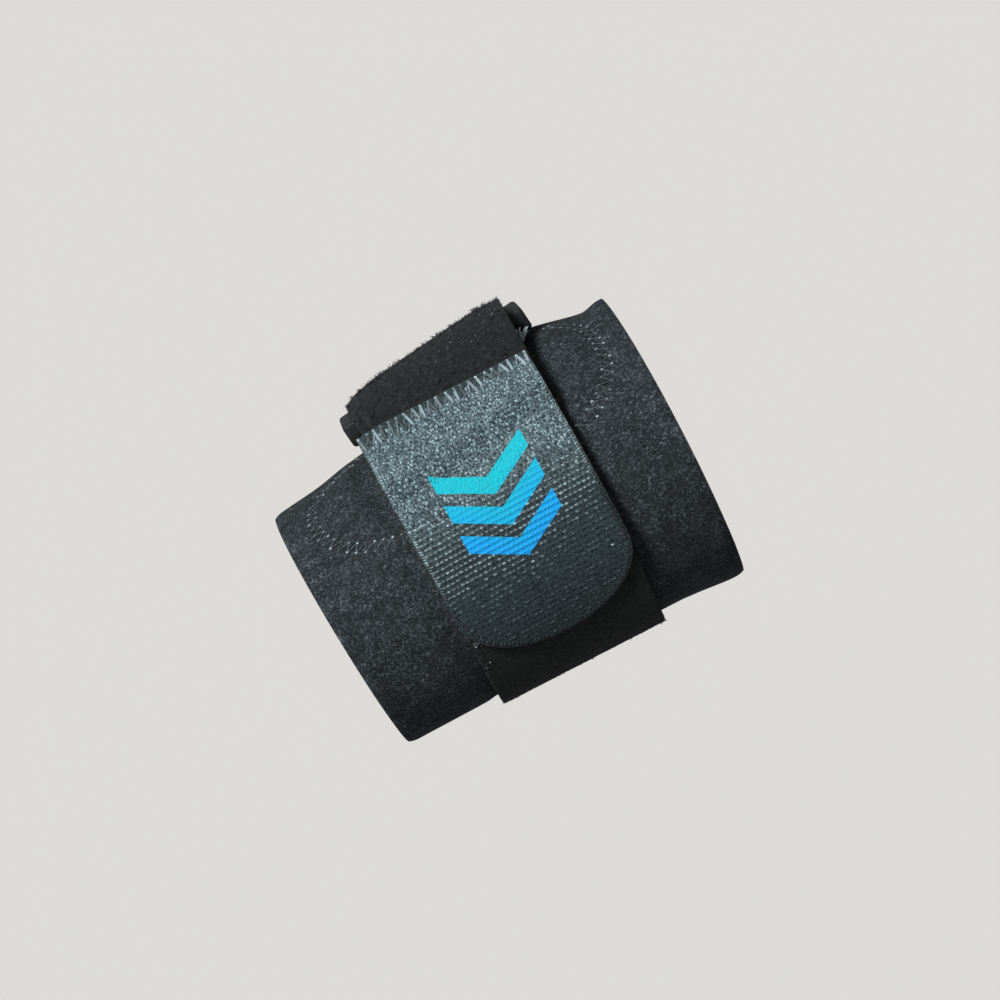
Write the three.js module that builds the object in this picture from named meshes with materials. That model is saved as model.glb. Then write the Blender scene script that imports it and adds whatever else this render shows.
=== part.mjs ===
// A tennis elbow strap in the form it has when worn: a foam rubber sleeve with a pressure pad inside it,
// and a pull strap that runs round the sleeve, through a ring and back over itself to a closing tab.
// Millimetres and degrees. +X runs along the forearm to the elbow, +Z is up and -Y is the front.
// The origin is on the sleeve's axis, at the middle of the strap.
// Angles go round the axis from the ring side, over the front and on under the arm.

import * as THREE from "three";

// Clearance between pieces that touch, and how far the closing tab looks up instead of straight forward
const gap = 0.3;
const lookUp = 20;

// Sleeve
const armRadius = 38.5;
const sleeveWall = 3.5;
const wristReach = 53.5;
const elbowReach = 49.5;
const elbowCutBack = 4.3;
const rimRound = 1.1;
const sleeveSections = 60;

// Pressure pad inside the sleeve
const padLength = 88;
const padHalfAngle = 31;
const padAngle = 42.5;
const padPlace = -1.5;
const padThickness = 4.2;
const padRim = 1.2;
const padSquareness = 2.6;
const padSwell = 1.2;
const padSwellRun = 6;
const padFill = 0.5;

// Pull strap
const strapWidth = 47.4;
const strapThickness = 2.8;
const strapRootAngle = 322;
const strapLeaveAngle = 38;
const strapLieAngle = 47;
const strapEndAngle = 51;
const strapDriftTop = 2.1;
const strapDriftUnder = -3.3;
const strapBedMargin = 0.2;
const strapRise = 2;

// Ring that the strap is pulled through
const ringAngle = 12;
const ringHeight = 7.2;
const ringPlace = 2;
const ringSlope = 3.2;
const ringSlotSlack = 0.5;
const ringSlotLength = strapWidth + 2 * ringSlotSlack;
const ringSlotWidth = 8;
const ringBar = 4;
const ringSideBar = 3.6;
const ringThickness = 4;
const ringCorner = 2.6;
const ringEdgeRound = 1.4;
const ringSlack = 0.45;

// Webbing loop that holds the ring's rear bar
const loopThickness = 1.6;
const loopInset = 0.5;
const loopWidth = strapWidth - 2 * loopInset;
const loopLowerLie = -20;
const loopUpperLie = -25;
const loopEndAngle = -36;

// Closing tab: its sides run straight, and its rounded end reaches tabEnd further. Its sewn end slants.
const tabOverhang = 0.6;
const tabWidth = strapWidth + 2 * tabOverhang;
const tabThickness = 2;
const tabAngle = 39.2;
const tabStraight = 53;
const tabEnd = 17.5;
const tabSlant = 0.12;
const tabRootLift = 0.45;
const tabSetOver = 1.2;
const tabSetOverRun = 50;
const tabStepStart = 3;
const tabStepRun = 10;

// Edge of a woven band: how far in from its sides it keeps its full thickness
const bandEdge = 0.7;

// Mid heights over the sleeve of a band that lies on it, and of one that lies on the strap
const strapOnSleeve = gap + strapThickness / 2;
const strapOnStrap = strapOnSleeve + strapThickness + gap;
const tabOnStrap = gap + strapThickness + gap + tabThickness / 2;
const loopOnSleeve = gap + loopThickness / 2;
const loopOnLoop = loopOnSleeve + loopThickness + gap;

// The strap's bed on the sleeve reaches as far as the strap does where it lies furthest over
const bedReach = strapWidth / 2 - strapDriftUnder + strapBedMargin;

// Girths of the sleeve. along: share of the way from the strap's bed to the sleeve's edge.
// top, front, under and back: outer radius there, as a share of armRadius.
const girths = [
  { side: "wrist", along: 1.0, top: 0.881, front: 0.9, under: 0.918, back: 0.9 },
  { side: "wrist", along: 0.5, top: 0.904, front: 0.925, under: 0.932, back: 0.92 },
  { side: "wrist", along: 0.13, top: 0.936, front: 0.943, under: 0.942, back: 0.938 },
  { side: "wrist", along: 0.0, top: 0.943, front: 0.939, under: 0.939, back: 0.937 },
  { side: "elbow", along: 0.0, top: 1.085, front: 1.052, under: 1.033, back: 1.049 },
  { side: "elbow", along: 0.14, top: 1.09, front: 1.073, under: 1.045, back: 1.066 },
  { side: "elbow", along: 0.7, top: 0.997, front: 1.045, under: 1.079, back: 1.04 },
  { side: "elbow", along: 0.88, top: 1.008, front: 1.052, under: 1.086, back: 1.048 },
  { side: "elbow", along: 1.0, top: 1.02, front: 1.06, under: 1.09, back: 1.056 },
];
const bedRows = [3, 4];

// Where the sleeve has its rings of points, as shares from the bed to the edge on each side
const sleeveStops = [1.0, 0.86, 0.68, 0.5, 0.32, 0.16, 0.0];

const radians = (angle) => THREE.MathUtils.degToRad(angle);
const degrees = (angle) => THREE.MathUtils.radToDeg(angle);
const mix = THREE.MathUtils.lerp;
const ease = (share) => THREE.MathUtils.smoothstep(share, 0, 1);

// Direction away from the axis at an angle, and the way the angle grows there
function outward(angle) {
  const turned = radians(angle - lookUp);
  return new THREE.Vector3(0, -Math.sin(turned), Math.cos(turned));
}

function onward(angle) {
  return outward(angle + 90);
}

function place(x, { angle, radius }) {
  return outward(angle).multiplyScalar(radius).setX(x);
}

// The elbow edge is cut back under the arm, so the elbow side is shorter there
function elbowEdge(angle) {
  const under = (1 - Math.cos(radians(angle))) / 2;
  return elbowReach - elbowCutBack * under * under;
}

function sleeveX(side, along, angle) {
  const edge = side === "wrist" ? wristReach : elbowEdge(angle);
  const x = mix(bedReach, edge, along);
  return side === "wrist" ? -x : x;
}

const girthRows = girths.map((row) => ({ ...row, x: sleeveX(row.side, row.along, 0) }));

function girthSlope(column, i) {
  const chord = (a, b) => (girthRows[b][column] - girthRows[a][column]) / (girthRows[b].x - girthRows[a].x);
  if (bedRows.includes(i)) return chord(...bedRows);
  return chord(Math.max(i - 1, 0), Math.min(i + 1, girthRows.length - 1));
}

// Smooth curve through one column of the girth table, straight across the strap's bed
function girth(column, x) {
  const last = girthRows.length - 2;
  const found = girthRows.findIndex((row) => row.x > x) - 1;
  const i = THREE.MathUtils.clamp(found < -1 ? last : found, 0, last);
  const a = girthRows[i];
  const b = girthRows[i + 1];
  const run = b.x - a.x;
  const t = (x - a.x) / run;
  const bend = (t - 1) * (t - 1) * t * run * girthSlope(column, i) + (t - 1) * t * t * run * girthSlope(column, i + 1);
  return mix(a[column], b[column], ease(t)) + bend;
}

// The pad lifts the sleeve a little outside the strap, which holds it down
function padLift(angle, x) {
  const along = Math.abs(x - padPlace) / (padLength / 2);
  const round = Math.abs(angle - padAngle) / padHalfAngle;
  const inside = 1 - along ** padSquareness - round ** padSquareness;
  const free = ease((Math.abs(x) - bedReach) / padSwellRun);
  return inside > 0 ? padSwell * free * ease(Math.min(1, 2 * inside)) : 0;
}

// Outer radius of the sleeve
function sleeveRadius(angle, x) {
  const stretch = (elbowReach - bedReach) / (elbowEdge(angle) - bedReach);
  const even = x > bedReach ? bedReach + (x - bedReach) * stretch : x;
  const c = Math.cos(radians(angle));
  const s = Math.sin(radians(angle));
  const upright = girth(c > 0 ? "top" : "under", even);
  const sideways = girth(s > 0 ? "front" : "back", even);
  return armRadius * (upright * c * c + sideways * s * s) + padLift(angle, x);
}

// The strap drifts along the arm as it goes round, because the arm is a cone
function strapCentre(angle) {
  return mix(strapDriftUnder, strapDriftTop, (1 + Math.cos(radians(angle))) / 2);
}

// Joins closed sections of equal length to one closed solid with its faces outward
function loft(sections, joined) {
  const count = sections[0].length;
  const corners = sections.flat();
  const faces = [];
  const rows = joined ? sections.length : sections.length - 1;
  for (let i = 0; i < rows; i++) {
    const next = (i + 1) % sections.length;
    for (let j = 0; j < count; j++) {
      const a = i * count + j;
      const b = i * count + ((j + 1) % count);
      const c = next * count + j;
      const d = next * count + ((j + 1) % count);
      faces.push([a, b, d], [a, d, c]);
    }
  }
  if (!joined) {
    const end = (sections.length - 1) * count;
    for (let j = 1; j < count - 1; j++) {
      faces.push([0, j + 1, j], [end, end + j, end + j + 1]);
    }
  }
  return closedGeometry(corners, faces);
}

function closedGeometry(corners, faces) {
  const volume = faces.reduce((sum, [a, b, c]) => {
    return sum + corners[a].dot(corners[b].clone().cross(corners[c]));
  }, 0);
  const outwards = volume < 0 ? faces.map(([a, b, c]) => [a, c, b]) : faces;
  const geometry = new THREE.BufferGeometry().setFromPoints(corners);
  geometry.setIndex(outwards.flat());
  geometry.computeVertexNormals();
  return geometry;
}

// A band follows stations: where its middle lies at a given x, with its centre and half width there
function band(stations, thickness) {
  const sides = [-1, -1, 1, 1];
  const insets = [0, bandEdge, bandEdge, 0];
  const mid = stations.map(({ at, centre, half }) => {
    return sides.map((side, j) => {
      const x = centre + side * Math.max(half - insets[j], half * 0.2);
      return place(x, at(x));
    });
  });
  const lifted = (i, j, height) => {
    const before = mid[Math.max(i - 1, 0)][j];
    const after = mid[Math.min(i + 1, mid.length - 1)][j];
    const run = after.clone().sub(before).setX(0).normalize();
    const normal = new THREE.Vector3(0, -run.z, run.y);
    return mid[i][j].clone().addScaledVector(normal, height);
  };
  const half = thickness / 2;
  return loft(
    mid.map((_, i) => {
      return [
        lifted(i, 0, 0),
        lifted(i, 1, half),
        lifted(i, 2, half),
        lifted(i, 3, 0),
        lifted(i, 2, -half),
        lifted(i, 1, -half),
      ];
    }),
    false,
  );
}

function strapStation(angle, at) {
  return { at, centre: strapCentre(angle), half: strapWidth / 2 };
}

// Even steps from one number to another, both included
function steps(from, to, count) {
  return Array.from({ length: count + 1 }, (_, i) => mix(from, to, i / count));
}

// The ring's own frame: across it, towards the front, and above its mid plane
const ringRadius = sleeveRadius(ringAngle, ringPlace) + ringHeight;
const barAway = (ringSlotWidth + ringBar) / 2;
const barLean = degrees(Math.atan2(barAway, ringRadius));
const strapFold = { reach: ringBar / 2 + ringSlack + strapThickness / 2, rise: strapRise };
const loopFold = { reach: ringBar / 2 + ringSlack + loopThickness / 2, rise: 0 };

function nearRing(x, across, above) {
  const rise = ringRadius + (x - ringPlace) * Math.tan(radians(ringSlope)) + above;
  return { angle: ringAngle + degrees(Math.atan2(across, rise)), radius: Math.hypot(rise, across) };
}

// A point of a fold round one of the ring's bars. side is 1 at the front bar and -1 at the rear one,
// and turn goes from 0 under the bar, through the slot, to 180 over it, where the fold stands off by its rise.
function roundBar(x, side, fold, turn) {
  const reach = fold.reach + fold.rise * ease(turn / 180);
  const across = side * (barAway - reach * Math.sin(radians(turn)));
  return nearRing(x, across, -reach * Math.cos(radians(turn)));
}

// A leg between the fold and the angle from which it lies at a height over the sleeve
function leg(x, angle, side, fold, turn, lieAngle, height) {
  const start = roundBar(x, side, fold, turn);
  const share = THREE.MathUtils.clamp((angle - start.angle) / (lieAngle - start.angle), 0, 1);
  return { angle, radius: mix(start.radius, sleeveRadius(angle, x) + height, ease(share)) };
}

const underTurn = -barLean;
const overTurn = 180 + barLean;

function strapReturn(x, angle) {
  return leg(x, angle, 1, strapFold, overTurn, strapLieAngle, strapOnStrap);
}

function sleeve() {
  const wall = (angle) => {
    const outer = (x) => place(x, { angle, radius: sleeveRadius(angle, x) });
    const inner = (x) => place(x, { angle, radius: sleeveRadius(angle, x) - sleeveWall });
    const wrist = sleeveX("wrist", 1, angle);
    const elbow = sleeveX("elbow", 1, angle);
    const stops = [
      wrist + rimRound,
      ...sleeveStops.slice(1).map((along) => sleeveX("wrist", along, angle)),
      ...sleeveStops.slice(1).reverse().map((along) => sleeveX("elbow", along, angle)),
      elbow - rimRound,
    ];
    const rim = (x, depth) => place(x, { angle, radius: sleeveRadius(angle, x) - depth });
    return [
      ...stops.map(outer),
      rim(elbow, rimRound),
      rim(elbow, sleeveWall - rimRound),
      ...stops.map(inner).reverse(),
      rim(wrist, sleeveWall - rimRound),
      rim(wrist, rimRound),
    ];
  };
  const angles = steps(0, 360, sleeveSections).slice(0, -1);
  return loft(angles.map(wall), true);
}

function pressurePad() {
  const power = 2 / padSquareness;
  const across = steps(-1, 1, 10);
  const section = (turn) => {
    const along = -Math.sign(Math.cos(turn)) * Math.abs(Math.cos(turn)) ** power;
    const half = padHalfAngle * Math.sin(turn) ** power;
    const x = padPlace + (along * padLength) / 2;
    const crown = Math.sqrt(1 - Math.abs(along) ** padSquareness);
    const face = (share, depth) => {
      const angle = padAngle + share * half;
      const spare = (1 - padFill) * padLift(angle, x);
      return place(x, { angle, radius: sleeveRadius(angle, x) - sleeveWall - gap - spare - depth });
    };
    const depth = (share) => mix(padRim, padThickness, crown * Math.sqrt(1 - share * share));
    return [
      ...across.map((share) => face(share, 0)),
      ...across.map((share) => face(share, depth(share))).reverse(),
    ];
  };
  const turns = steps(0.06, Math.PI - 0.06, 16);
  return loft(turns.map(section), false);
}

function strap() {
  const round = steps(strapRootAngle, strapLeaveAngle, 48).map((angle) => {
    return strapStation(angle, (x) => ({ angle, radius: sleeveRadius(angle, x) + strapOnSleeve }));
  });
  const rising = steps(0, 1, 8).slice(1, -1).map((share) => {
    const at = (x) => {
      const start = roundBar(x, 1, strapFold, underTurn).angle;
      return leg(x, mix(strapLeaveAngle, start, share), 1, strapFold, underTurn, strapLeaveAngle, strapOnSleeve);
    };
    return strapStation(mix(strapLeaveAngle, ringAngle + barLean, share), at);
  });
  const fold = steps(underTurn, overTurn, 12).map((turn) => {
    return strapStation(ringAngle + barLean, (x) => roundBar(x, 1, strapFold, turn));
  });
  const back = steps(0, 1, 12).slice(1).map((share) => {
    const at = (x) => {
      const start = roundBar(x, 1, strapFold, overTurn).angle;
      return strapReturn(x, mix(start, strapEndAngle, share));
    };
    return strapStation(mix(ringAngle + barLean, strapEndAngle, share), at);
  });
  return band([...round, ...rising, ...fold, ...back], strapThickness);
}

function ringLoop() {
  const half = loopWidth / 2;
  const centre = ringPlace;
  const lower = steps(loopEndAngle, ringAngle - barLean, 12).slice(0, -1).map((angle) => {
    return { centre, half, at: (x) => leg(x, angle, -1, loopFold, underTurn, loopLowerLie, loopOnSleeve) };
  });
  const fold = steps(underTurn, overTurn, 12).map((turn) => {
    return { centre, half, at: (x) => roundBar(x, -1, loopFold, turn) };
  });
  const upper = steps(ringAngle - barLean, loopEndAngle, 14).slice(1).map((angle) => {
    return { centre, half, at: (x) => leg(x, angle, -1, loopFold, overTurn, loopUpperLie, loopOnLoop) };
  });
  return band([...lower, ...fold, ...upper], loopThickness);
}

function closingTab() {
  const middle = armRadius + tabOnStrap;
  const halfWidth = tabWidth / 2;
  const reach = tabStraight + tabEnd;
  const angleAt = (length) => tabAngle + degrees(length / middle);
  const lying = (angle, x) => {
    const onEnd = strapReturn(x, angle).radius + strapThickness / 2 + gap + tabThickness / 2 + tabRootLift;
    const flat = sleeveRadius(angle, x) + tabOnStrap;
    const share = (angle - strapEndAngle - tabStepStart) / tabStepRun;
    return { angle, radius: mix(onEnd, flat, ease(share)) };
  };
  const station = (length, half) => {
    const over = tabSetOver * Math.max(0, 1 - length / tabSetOverRun);
    const centre = strapCentre(angleAt(length)) - over;
    const slanted = (x) => length + tabSlant * (x - centre) * (1 - length / reach);
    return { at: (x) => lying(angleAt(slanted(x)), x), centre, half };
  };
  const straight = steps(0, tabStraight, 18).map((length) => station(length, halfWidth));
  const end = steps(0, 86, 10).slice(1).map((turn) => {
    return station(tabStraight + tabEnd * Math.sin(radians(turn)), halfWidth * Math.cos(radians(turn)));
  });
  return band([...straight, ...end], tabThickness);
}

function roundedOutline(Kind, length, width, corner) {
  const outline = new Kind();
  const x = length / 2 - corner;
  const y = width / 2 - corner;
  outline.absarc(x, y, corner, 0, Math.PI / 2);
  outline.absarc(-x, y, corner, Math.PI / 2, Math.PI);
  outline.absarc(-x, -y, corner, Math.PI, 1.5 * Math.PI);
  outline.absarc(x, -y, corner, 1.5 * Math.PI, 2 * Math.PI);
  outline.closePath();
  return outline;
}

function ring() {
  const length = ringSlotLength + 2 * ringSideBar;
  const width = ringSlotWidth + 2 * ringBar;
  const outline = roundedOutline(THREE.Shape, length, width, ringCorner);
  outline.holes.push(roundedOutline(THREE.Path, ringSlotLength, ringSlotWidth, ringSideBar / 2));
  return new THREE.ExtrudeGeometry(outline, {
    depth: ringThickness - 2 * ringEdgeRound,
    curveSegments: 5,
    bevelThickness: ringEdgeRound,
    bevelSize: ringEdgeRound,
    bevelOffset: -ringEdgeRound,
    bevelSegments: 3,
  }).translate(0, 0, ringEdgeRound - ringThickness / 2);
}

// Sets the ring flat over the sleeve at its angle, sloping up towards the elbow
function seatRing(mesh) {
  const up = outward(ringAngle);
  const slope = radians(ringSlope);
  const along = new THREE.Vector3(Math.cos(slope), 0, 0).addScaledVector(up, Math.sin(slope));
  const rearward = onward(ringAngle).negate();
  const normal = along.clone().cross(rearward);
  mesh.quaternion.setFromRotationMatrix(new THREE.Matrix4().makeBasis(along, rearward, normal));
  mesh.position.copy(place(ringPlace, { angle: ringAngle, radius: ringRadius }));
}

function piece(name, geometry, color, roughness) {
  const mesh = new THREE.Mesh(geometry, new THREE.MeshStandardMaterial({ color, roughness, metalness: 0 }));
  mesh.name = name;
  return mesh;
}

const elbowStrap = new THREE.Group();
const ringMesh = piece("ring", ring(), 0x2b2d2f, 0.4);
seatRing(ringMesh);
elbowStrap.add(
  piece("sleeve", sleeve(), 0x1d1e20, 0.9),
  piece("pressure_pad", pressurePad(), 0x242527, 0.9),
  piece("strap", strap(), 0x1b1b1c, 1),
  ringMesh,
  piece("ring_loop", ringLoop(), 0x202123, 0.9),
  piece("tab", closingTab(), 0x6d7a80, 0.9),
);

export default elbowStrap;
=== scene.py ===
# Tennis elbow strap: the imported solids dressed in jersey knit, loop pile, woven threads, seams and moulded plastic.
# Metres and degrees. Angles go round the forearm's axis from the ring side, over the front and on under the arm.

import math

import bpy
import numpy as np
from mathutils import Matrix, Vector, noise


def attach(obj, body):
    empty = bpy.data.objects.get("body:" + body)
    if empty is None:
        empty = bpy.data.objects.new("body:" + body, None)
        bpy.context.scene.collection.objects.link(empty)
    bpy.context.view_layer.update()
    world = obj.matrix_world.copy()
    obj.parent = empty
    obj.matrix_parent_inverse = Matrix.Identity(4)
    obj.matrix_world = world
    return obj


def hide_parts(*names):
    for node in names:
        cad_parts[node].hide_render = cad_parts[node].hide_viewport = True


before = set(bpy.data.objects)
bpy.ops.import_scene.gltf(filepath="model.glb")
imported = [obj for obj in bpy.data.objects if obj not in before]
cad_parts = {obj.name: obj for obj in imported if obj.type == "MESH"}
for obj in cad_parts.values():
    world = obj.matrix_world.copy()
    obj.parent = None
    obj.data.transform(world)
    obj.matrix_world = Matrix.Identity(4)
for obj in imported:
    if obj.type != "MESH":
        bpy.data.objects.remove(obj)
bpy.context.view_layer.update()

MM = 0.001

# Sizes that the pieces share
GAP = 0.3 * MM
LOOK_UP = 20.0

# Sleeve
ARM_RADIUS = 38.5 * MM
SLEEVE_WALL = 3.5 * MM
WRIST_REACH = 53.5 * MM
ELBOW_REACH = 49.5 * MM
ELBOW_CUT_BACK = 4.9 * MM
ELBOW_CUT_BEND = 1.4
RIM_ROUND = 1.1 * MM

# Pressure pad
PAD_LENGTH = 88 * MM
PAD_HALF_ANGLE = 31.0
PAD_ANGLE = 42.5
PAD_PLACE = -1.5 * MM
PAD_THICKNESS = 4.2 * MM
PAD_RIM = 1.2 * MM
PAD_SQUARENESS = 2.6
PAD_SWELL = 1.2 * MM
PAD_SWELL_RUN = 6 * MM
PAD_FILL = 0.5

# Pull strap
STRAP_WIDTH = 47.4 * MM
STRAP_THICKNESS = 2.8 * MM
STRAP_ROOT_ANGLE = 322.0
STRAP_LEAVE_ANGLE = 38.0
STRAP_LIE_ANGLE = 47.0
STRAP_END_ANGLE = 51.0
STRAP_DRIFT_TOP = 2.1 * MM
STRAP_DRIFT_UNDER = -3.3 * MM
STRAP_BED_MARGIN = 0.2 * MM
STRAP_RISE = 2.6 * MM
STRAP_CROWN_PLACE = 3.2 * MM
STRAP_CROWN_REACH = 26 * MM

# Ring
RING_ANGLE = 12.0
RING_HEIGHT = 7.2 * MM
RING_PLACE = 2 * MM
RING_SLOPE = 3.2
RING_SLOT_LENGTH = 48.4 * MM
RING_SLOT_WIDTH = 8 * MM
RING_BAR = 4 * MM
RING_SIDE_BAR = 3.6 * MM
RING_THICKNESS = 4 * MM
RING_SLACK = 0.45 * MM

# Loop that holds the ring
LOOP_THICKNESS = 1.6 * MM
LOOP_WIDTH = 46.4 * MM
LOOP_LOWER_LIE = -20.0
LOOP_UPPER_LIE = -25.0
LOOP_END_ANGLE = -36.0

# Closing tab
TAB_WIDTH = 48.6 * MM
TAB_THICKNESS = 2 * MM
TAB_ANGLE = 39.2
TAB_STRAIGHT = 53 * MM
TAB_END = 17.5 * MM
TAB_SLANT = 0.12
TAB_ROOT_LIFT = 0.45 * MM
TAB_SET_OVER = 1.2 * MM
TAB_SET_OVER_RUN = 50 * MM
TAB_STEP_START = 3.0
TAB_STEP_RUN = 10.0

# Girths of the sleeve. side, along: share of the way from the strap's bed to the sleeve's edge.
# top, front, under, back: outer radius there, as a share of ARM_RADIUS.
GIRTH_COLUMNS = ("side", "along", "top", "front", "under", "back")
GIRTHS = (
    ("wrist", 1.00, 0.881, 0.900, 0.918, 0.900),
    ("wrist", 0.50, 0.904, 0.925, 0.932, 0.920),
    ("wrist", 0.13, 0.936, 0.943, 0.942, 0.938),
    ("wrist", 0.00, 0.943, 0.939, 0.939, 0.937),
    ("elbow", 0.00, 1.085, 1.052, 1.033, 1.049),
    ("elbow", 0.14, 1.090, 1.073, 1.045, 1.066),
    ("elbow", 0.70, 0.997, 1.045, 1.079, 1.040),
    ("elbow", 0.88, 1.008, 1.052, 1.086, 1.048),
    ("elbow", 1.00, 1.020, 1.060, 1.090, 1.056),
)
BED_ROWS = (3, 4)

STRAP_ON_SLEEVE = GAP + STRAP_THICKNESS / 2
STRAP_ON_STRAP = STRAP_ON_SLEEVE + STRAP_THICKNESS + GAP
TAB_ON_STRAP = GAP + STRAP_THICKNESS + GAP + TAB_THICKNESS / 2
LOOP_ON_SLEEVE = GAP + LOOP_THICKNESS / 2
LOOP_ON_LOOP = LOOP_ON_SLEEVE + LOOP_THICKNESS + GAP
BED_REACH = STRAP_WIDTH / 2 - STRAP_DRIFT_UNDER + STRAP_BED_MARGIN


# Places and surfaces


def mix(a, b, share):
    return a + (b - a) * share


def ease(share):
    share = np.clip(share, 0, 1)
    return share * share * (3 - 2 * share)


def outward(angle):
    """Unit vectors away from the axis, as rows."""
    turned = np.radians(np.asarray(angle, float) - LOOK_UP)
    return np.stack([np.zeros_like(turned), -np.sin(turned), np.cos(turned)], axis=-1)


def onward(angle):
    """Unit vectors in the way that the angle grows."""
    return outward(np.asarray(angle, float) + 90)


def place(x, angle, radius):
    x, angle, radius = np.broadcast_arrays(x, angle, radius)
    points = outward(angle) * radius[..., None]
    points[..., 0] = x
    return points


def elbow_edge(angle):
    under = (1 - np.cos(np.radians(angle))) / 2
    return ELBOW_REACH - ELBOW_CUT_BACK * under**ELBOW_CUT_BEND


def girth_place(side, along):
    if side == "wrist":
        return -mix(BED_REACH, WRIST_REACH, along)
    return mix(BED_REACH, ELBOW_REACH, along)


GIRTH_X = np.array([girth_place(row[0], row[1]) for row in GIRTHS])


def girth(column, x):
    """Smooth curve through a column of the girth table, straight across the strap's bed."""
    value = np.array([row[GIRTH_COLUMNS.index(column)] for row in GIRTHS])
    before = np.maximum(np.arange(len(value)) - 1, 0)
    after = np.minimum(np.arange(len(value)) + 1, len(value) - 1)
    slope = (value[after] - value[before]) / (GIRTH_X[after] - GIRTH_X[before])
    first, last = BED_ROWS
    slope[first] = slope[last] = (value[last] - value[first]) / (GIRTH_X[last] - GIRTH_X[first])
    i = np.clip(np.searchsorted(GIRTH_X, x, side="right") - 1, 0, len(value) - 2)
    run = GIRTH_X[i + 1] - GIRTH_X[i]
    t = np.clip((x - GIRTH_X[i]) / run, 0, 1)
    bend = (t - 1) ** 2 * t * run * slope[i] + (t - 1) * t * t * run * slope[i + 1]
    return mix(value[i], value[i + 1], ease(t)) + bend


def wrapped(angle):
    """The angle as from -180 to 180."""
    return (np.asarray(angle, float) + 180) % 360 - 180


def pad_inside(angle, x):
    """1 at the pad's middle, 0 on its outline, and less outside."""
    along = np.abs(x - PAD_PLACE) / (PAD_LENGTH / 2)
    round_ = np.abs(wrapped(angle) - PAD_ANGLE) / PAD_HALF_ANGLE
    return 1 - along**PAD_SQUARENESS - round_**PAD_SQUARENESS


def pad_lift(angle, x):
    free = ease((np.abs(x) - BED_REACH) / PAD_SWELL_RUN)
    return PAD_SWELL * free * ease(np.minimum(1, 2 * pad_inside(angle, x)))


def sleeve_radius(angle, x):
    angle, x = np.broadcast_arrays(np.asarray(angle, float), np.asarray(x, float))
    stretch = (ELBOW_REACH - BED_REACH) / (elbow_edge(angle) - BED_REACH)
    even = np.where(x > BED_REACH, BED_REACH + (x - BED_REACH) * stretch, x)
    c = np.cos(np.radians(angle))
    s = np.sin(np.radians(angle))
    upright = np.where(c > 0, girth("top", even), girth("under", even))
    sideways = np.where(s > 0, girth("front", even), girth("back", even))
    return ARM_RADIUS * (upright * c * c + sideways * s * s) + pad_lift(angle, x)


def strap_centre(angle):
    return mix(STRAP_DRIFT_UNDER, STRAP_DRIFT_TOP, (1 + np.cos(np.radians(angle))) / 2)


RING_RADIUS = float(sleeve_radius(RING_ANGLE, RING_PLACE)) + RING_HEIGHT
BAR_AWAY = (RING_SLOT_WIDTH + RING_BAR) / 2
BAR_LEAN = math.degrees(math.atan2(BAR_AWAY, RING_RADIUS))
STRAP_FOLD = {"reach": RING_BAR / 2 + RING_SLACK + STRAP_THICKNESS / 2, "rise": STRAP_RISE}
LOOP_FOLD = {"reach": RING_BAR / 2 + RING_SLACK + LOOP_THICKNESS / 2, "rise": 0.0}
UNDER_TURN = -BAR_LEAN
OVER_TURN = 180 + BAR_LEAN


def near_ring(x, across, above):
    rise = RING_RADIUS + (x - RING_PLACE) * math.tan(math.radians(RING_SLOPE)) + above
    return RING_ANGLE + np.degrees(np.arctan2(across, rise)), np.hypot(rise, across)


def round_bar(x, side, fold, turn):
    """A point of a fold round a bar, which stands off over the bar by the fold's rise, most at its middle."""
    crown = 1 - np.clip(np.abs(x - STRAP_CROWN_PLACE) / STRAP_CROWN_REACH, 0, 1) ** 6
    reach = fold["reach"] + fold["rise"] * crown * ease(turn / 180)
    turn = math.radians(turn)
    across = side * (BAR_AWAY - reach * math.sin(turn))
    return near_ring(x, across, -reach * math.cos(turn))


def leg(x, angle, side, fold, turn, lie_angle, height):
    start_angle, start_radius = round_bar(x, side, fold, turn)
    share = ease((angle - start_angle) / (lie_angle - start_angle))
    return angle, mix(start_radius, sleeve_radius(angle, x) + height, share)


def strap_return(x, angle):
    return leg(x, angle, 1, STRAP_FOLD, OVER_TURN, STRAP_LIE_ANGLE, STRAP_ON_STRAP)


# Bands: a station gives where a band's middle lies at given x, with its centre and half width


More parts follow.
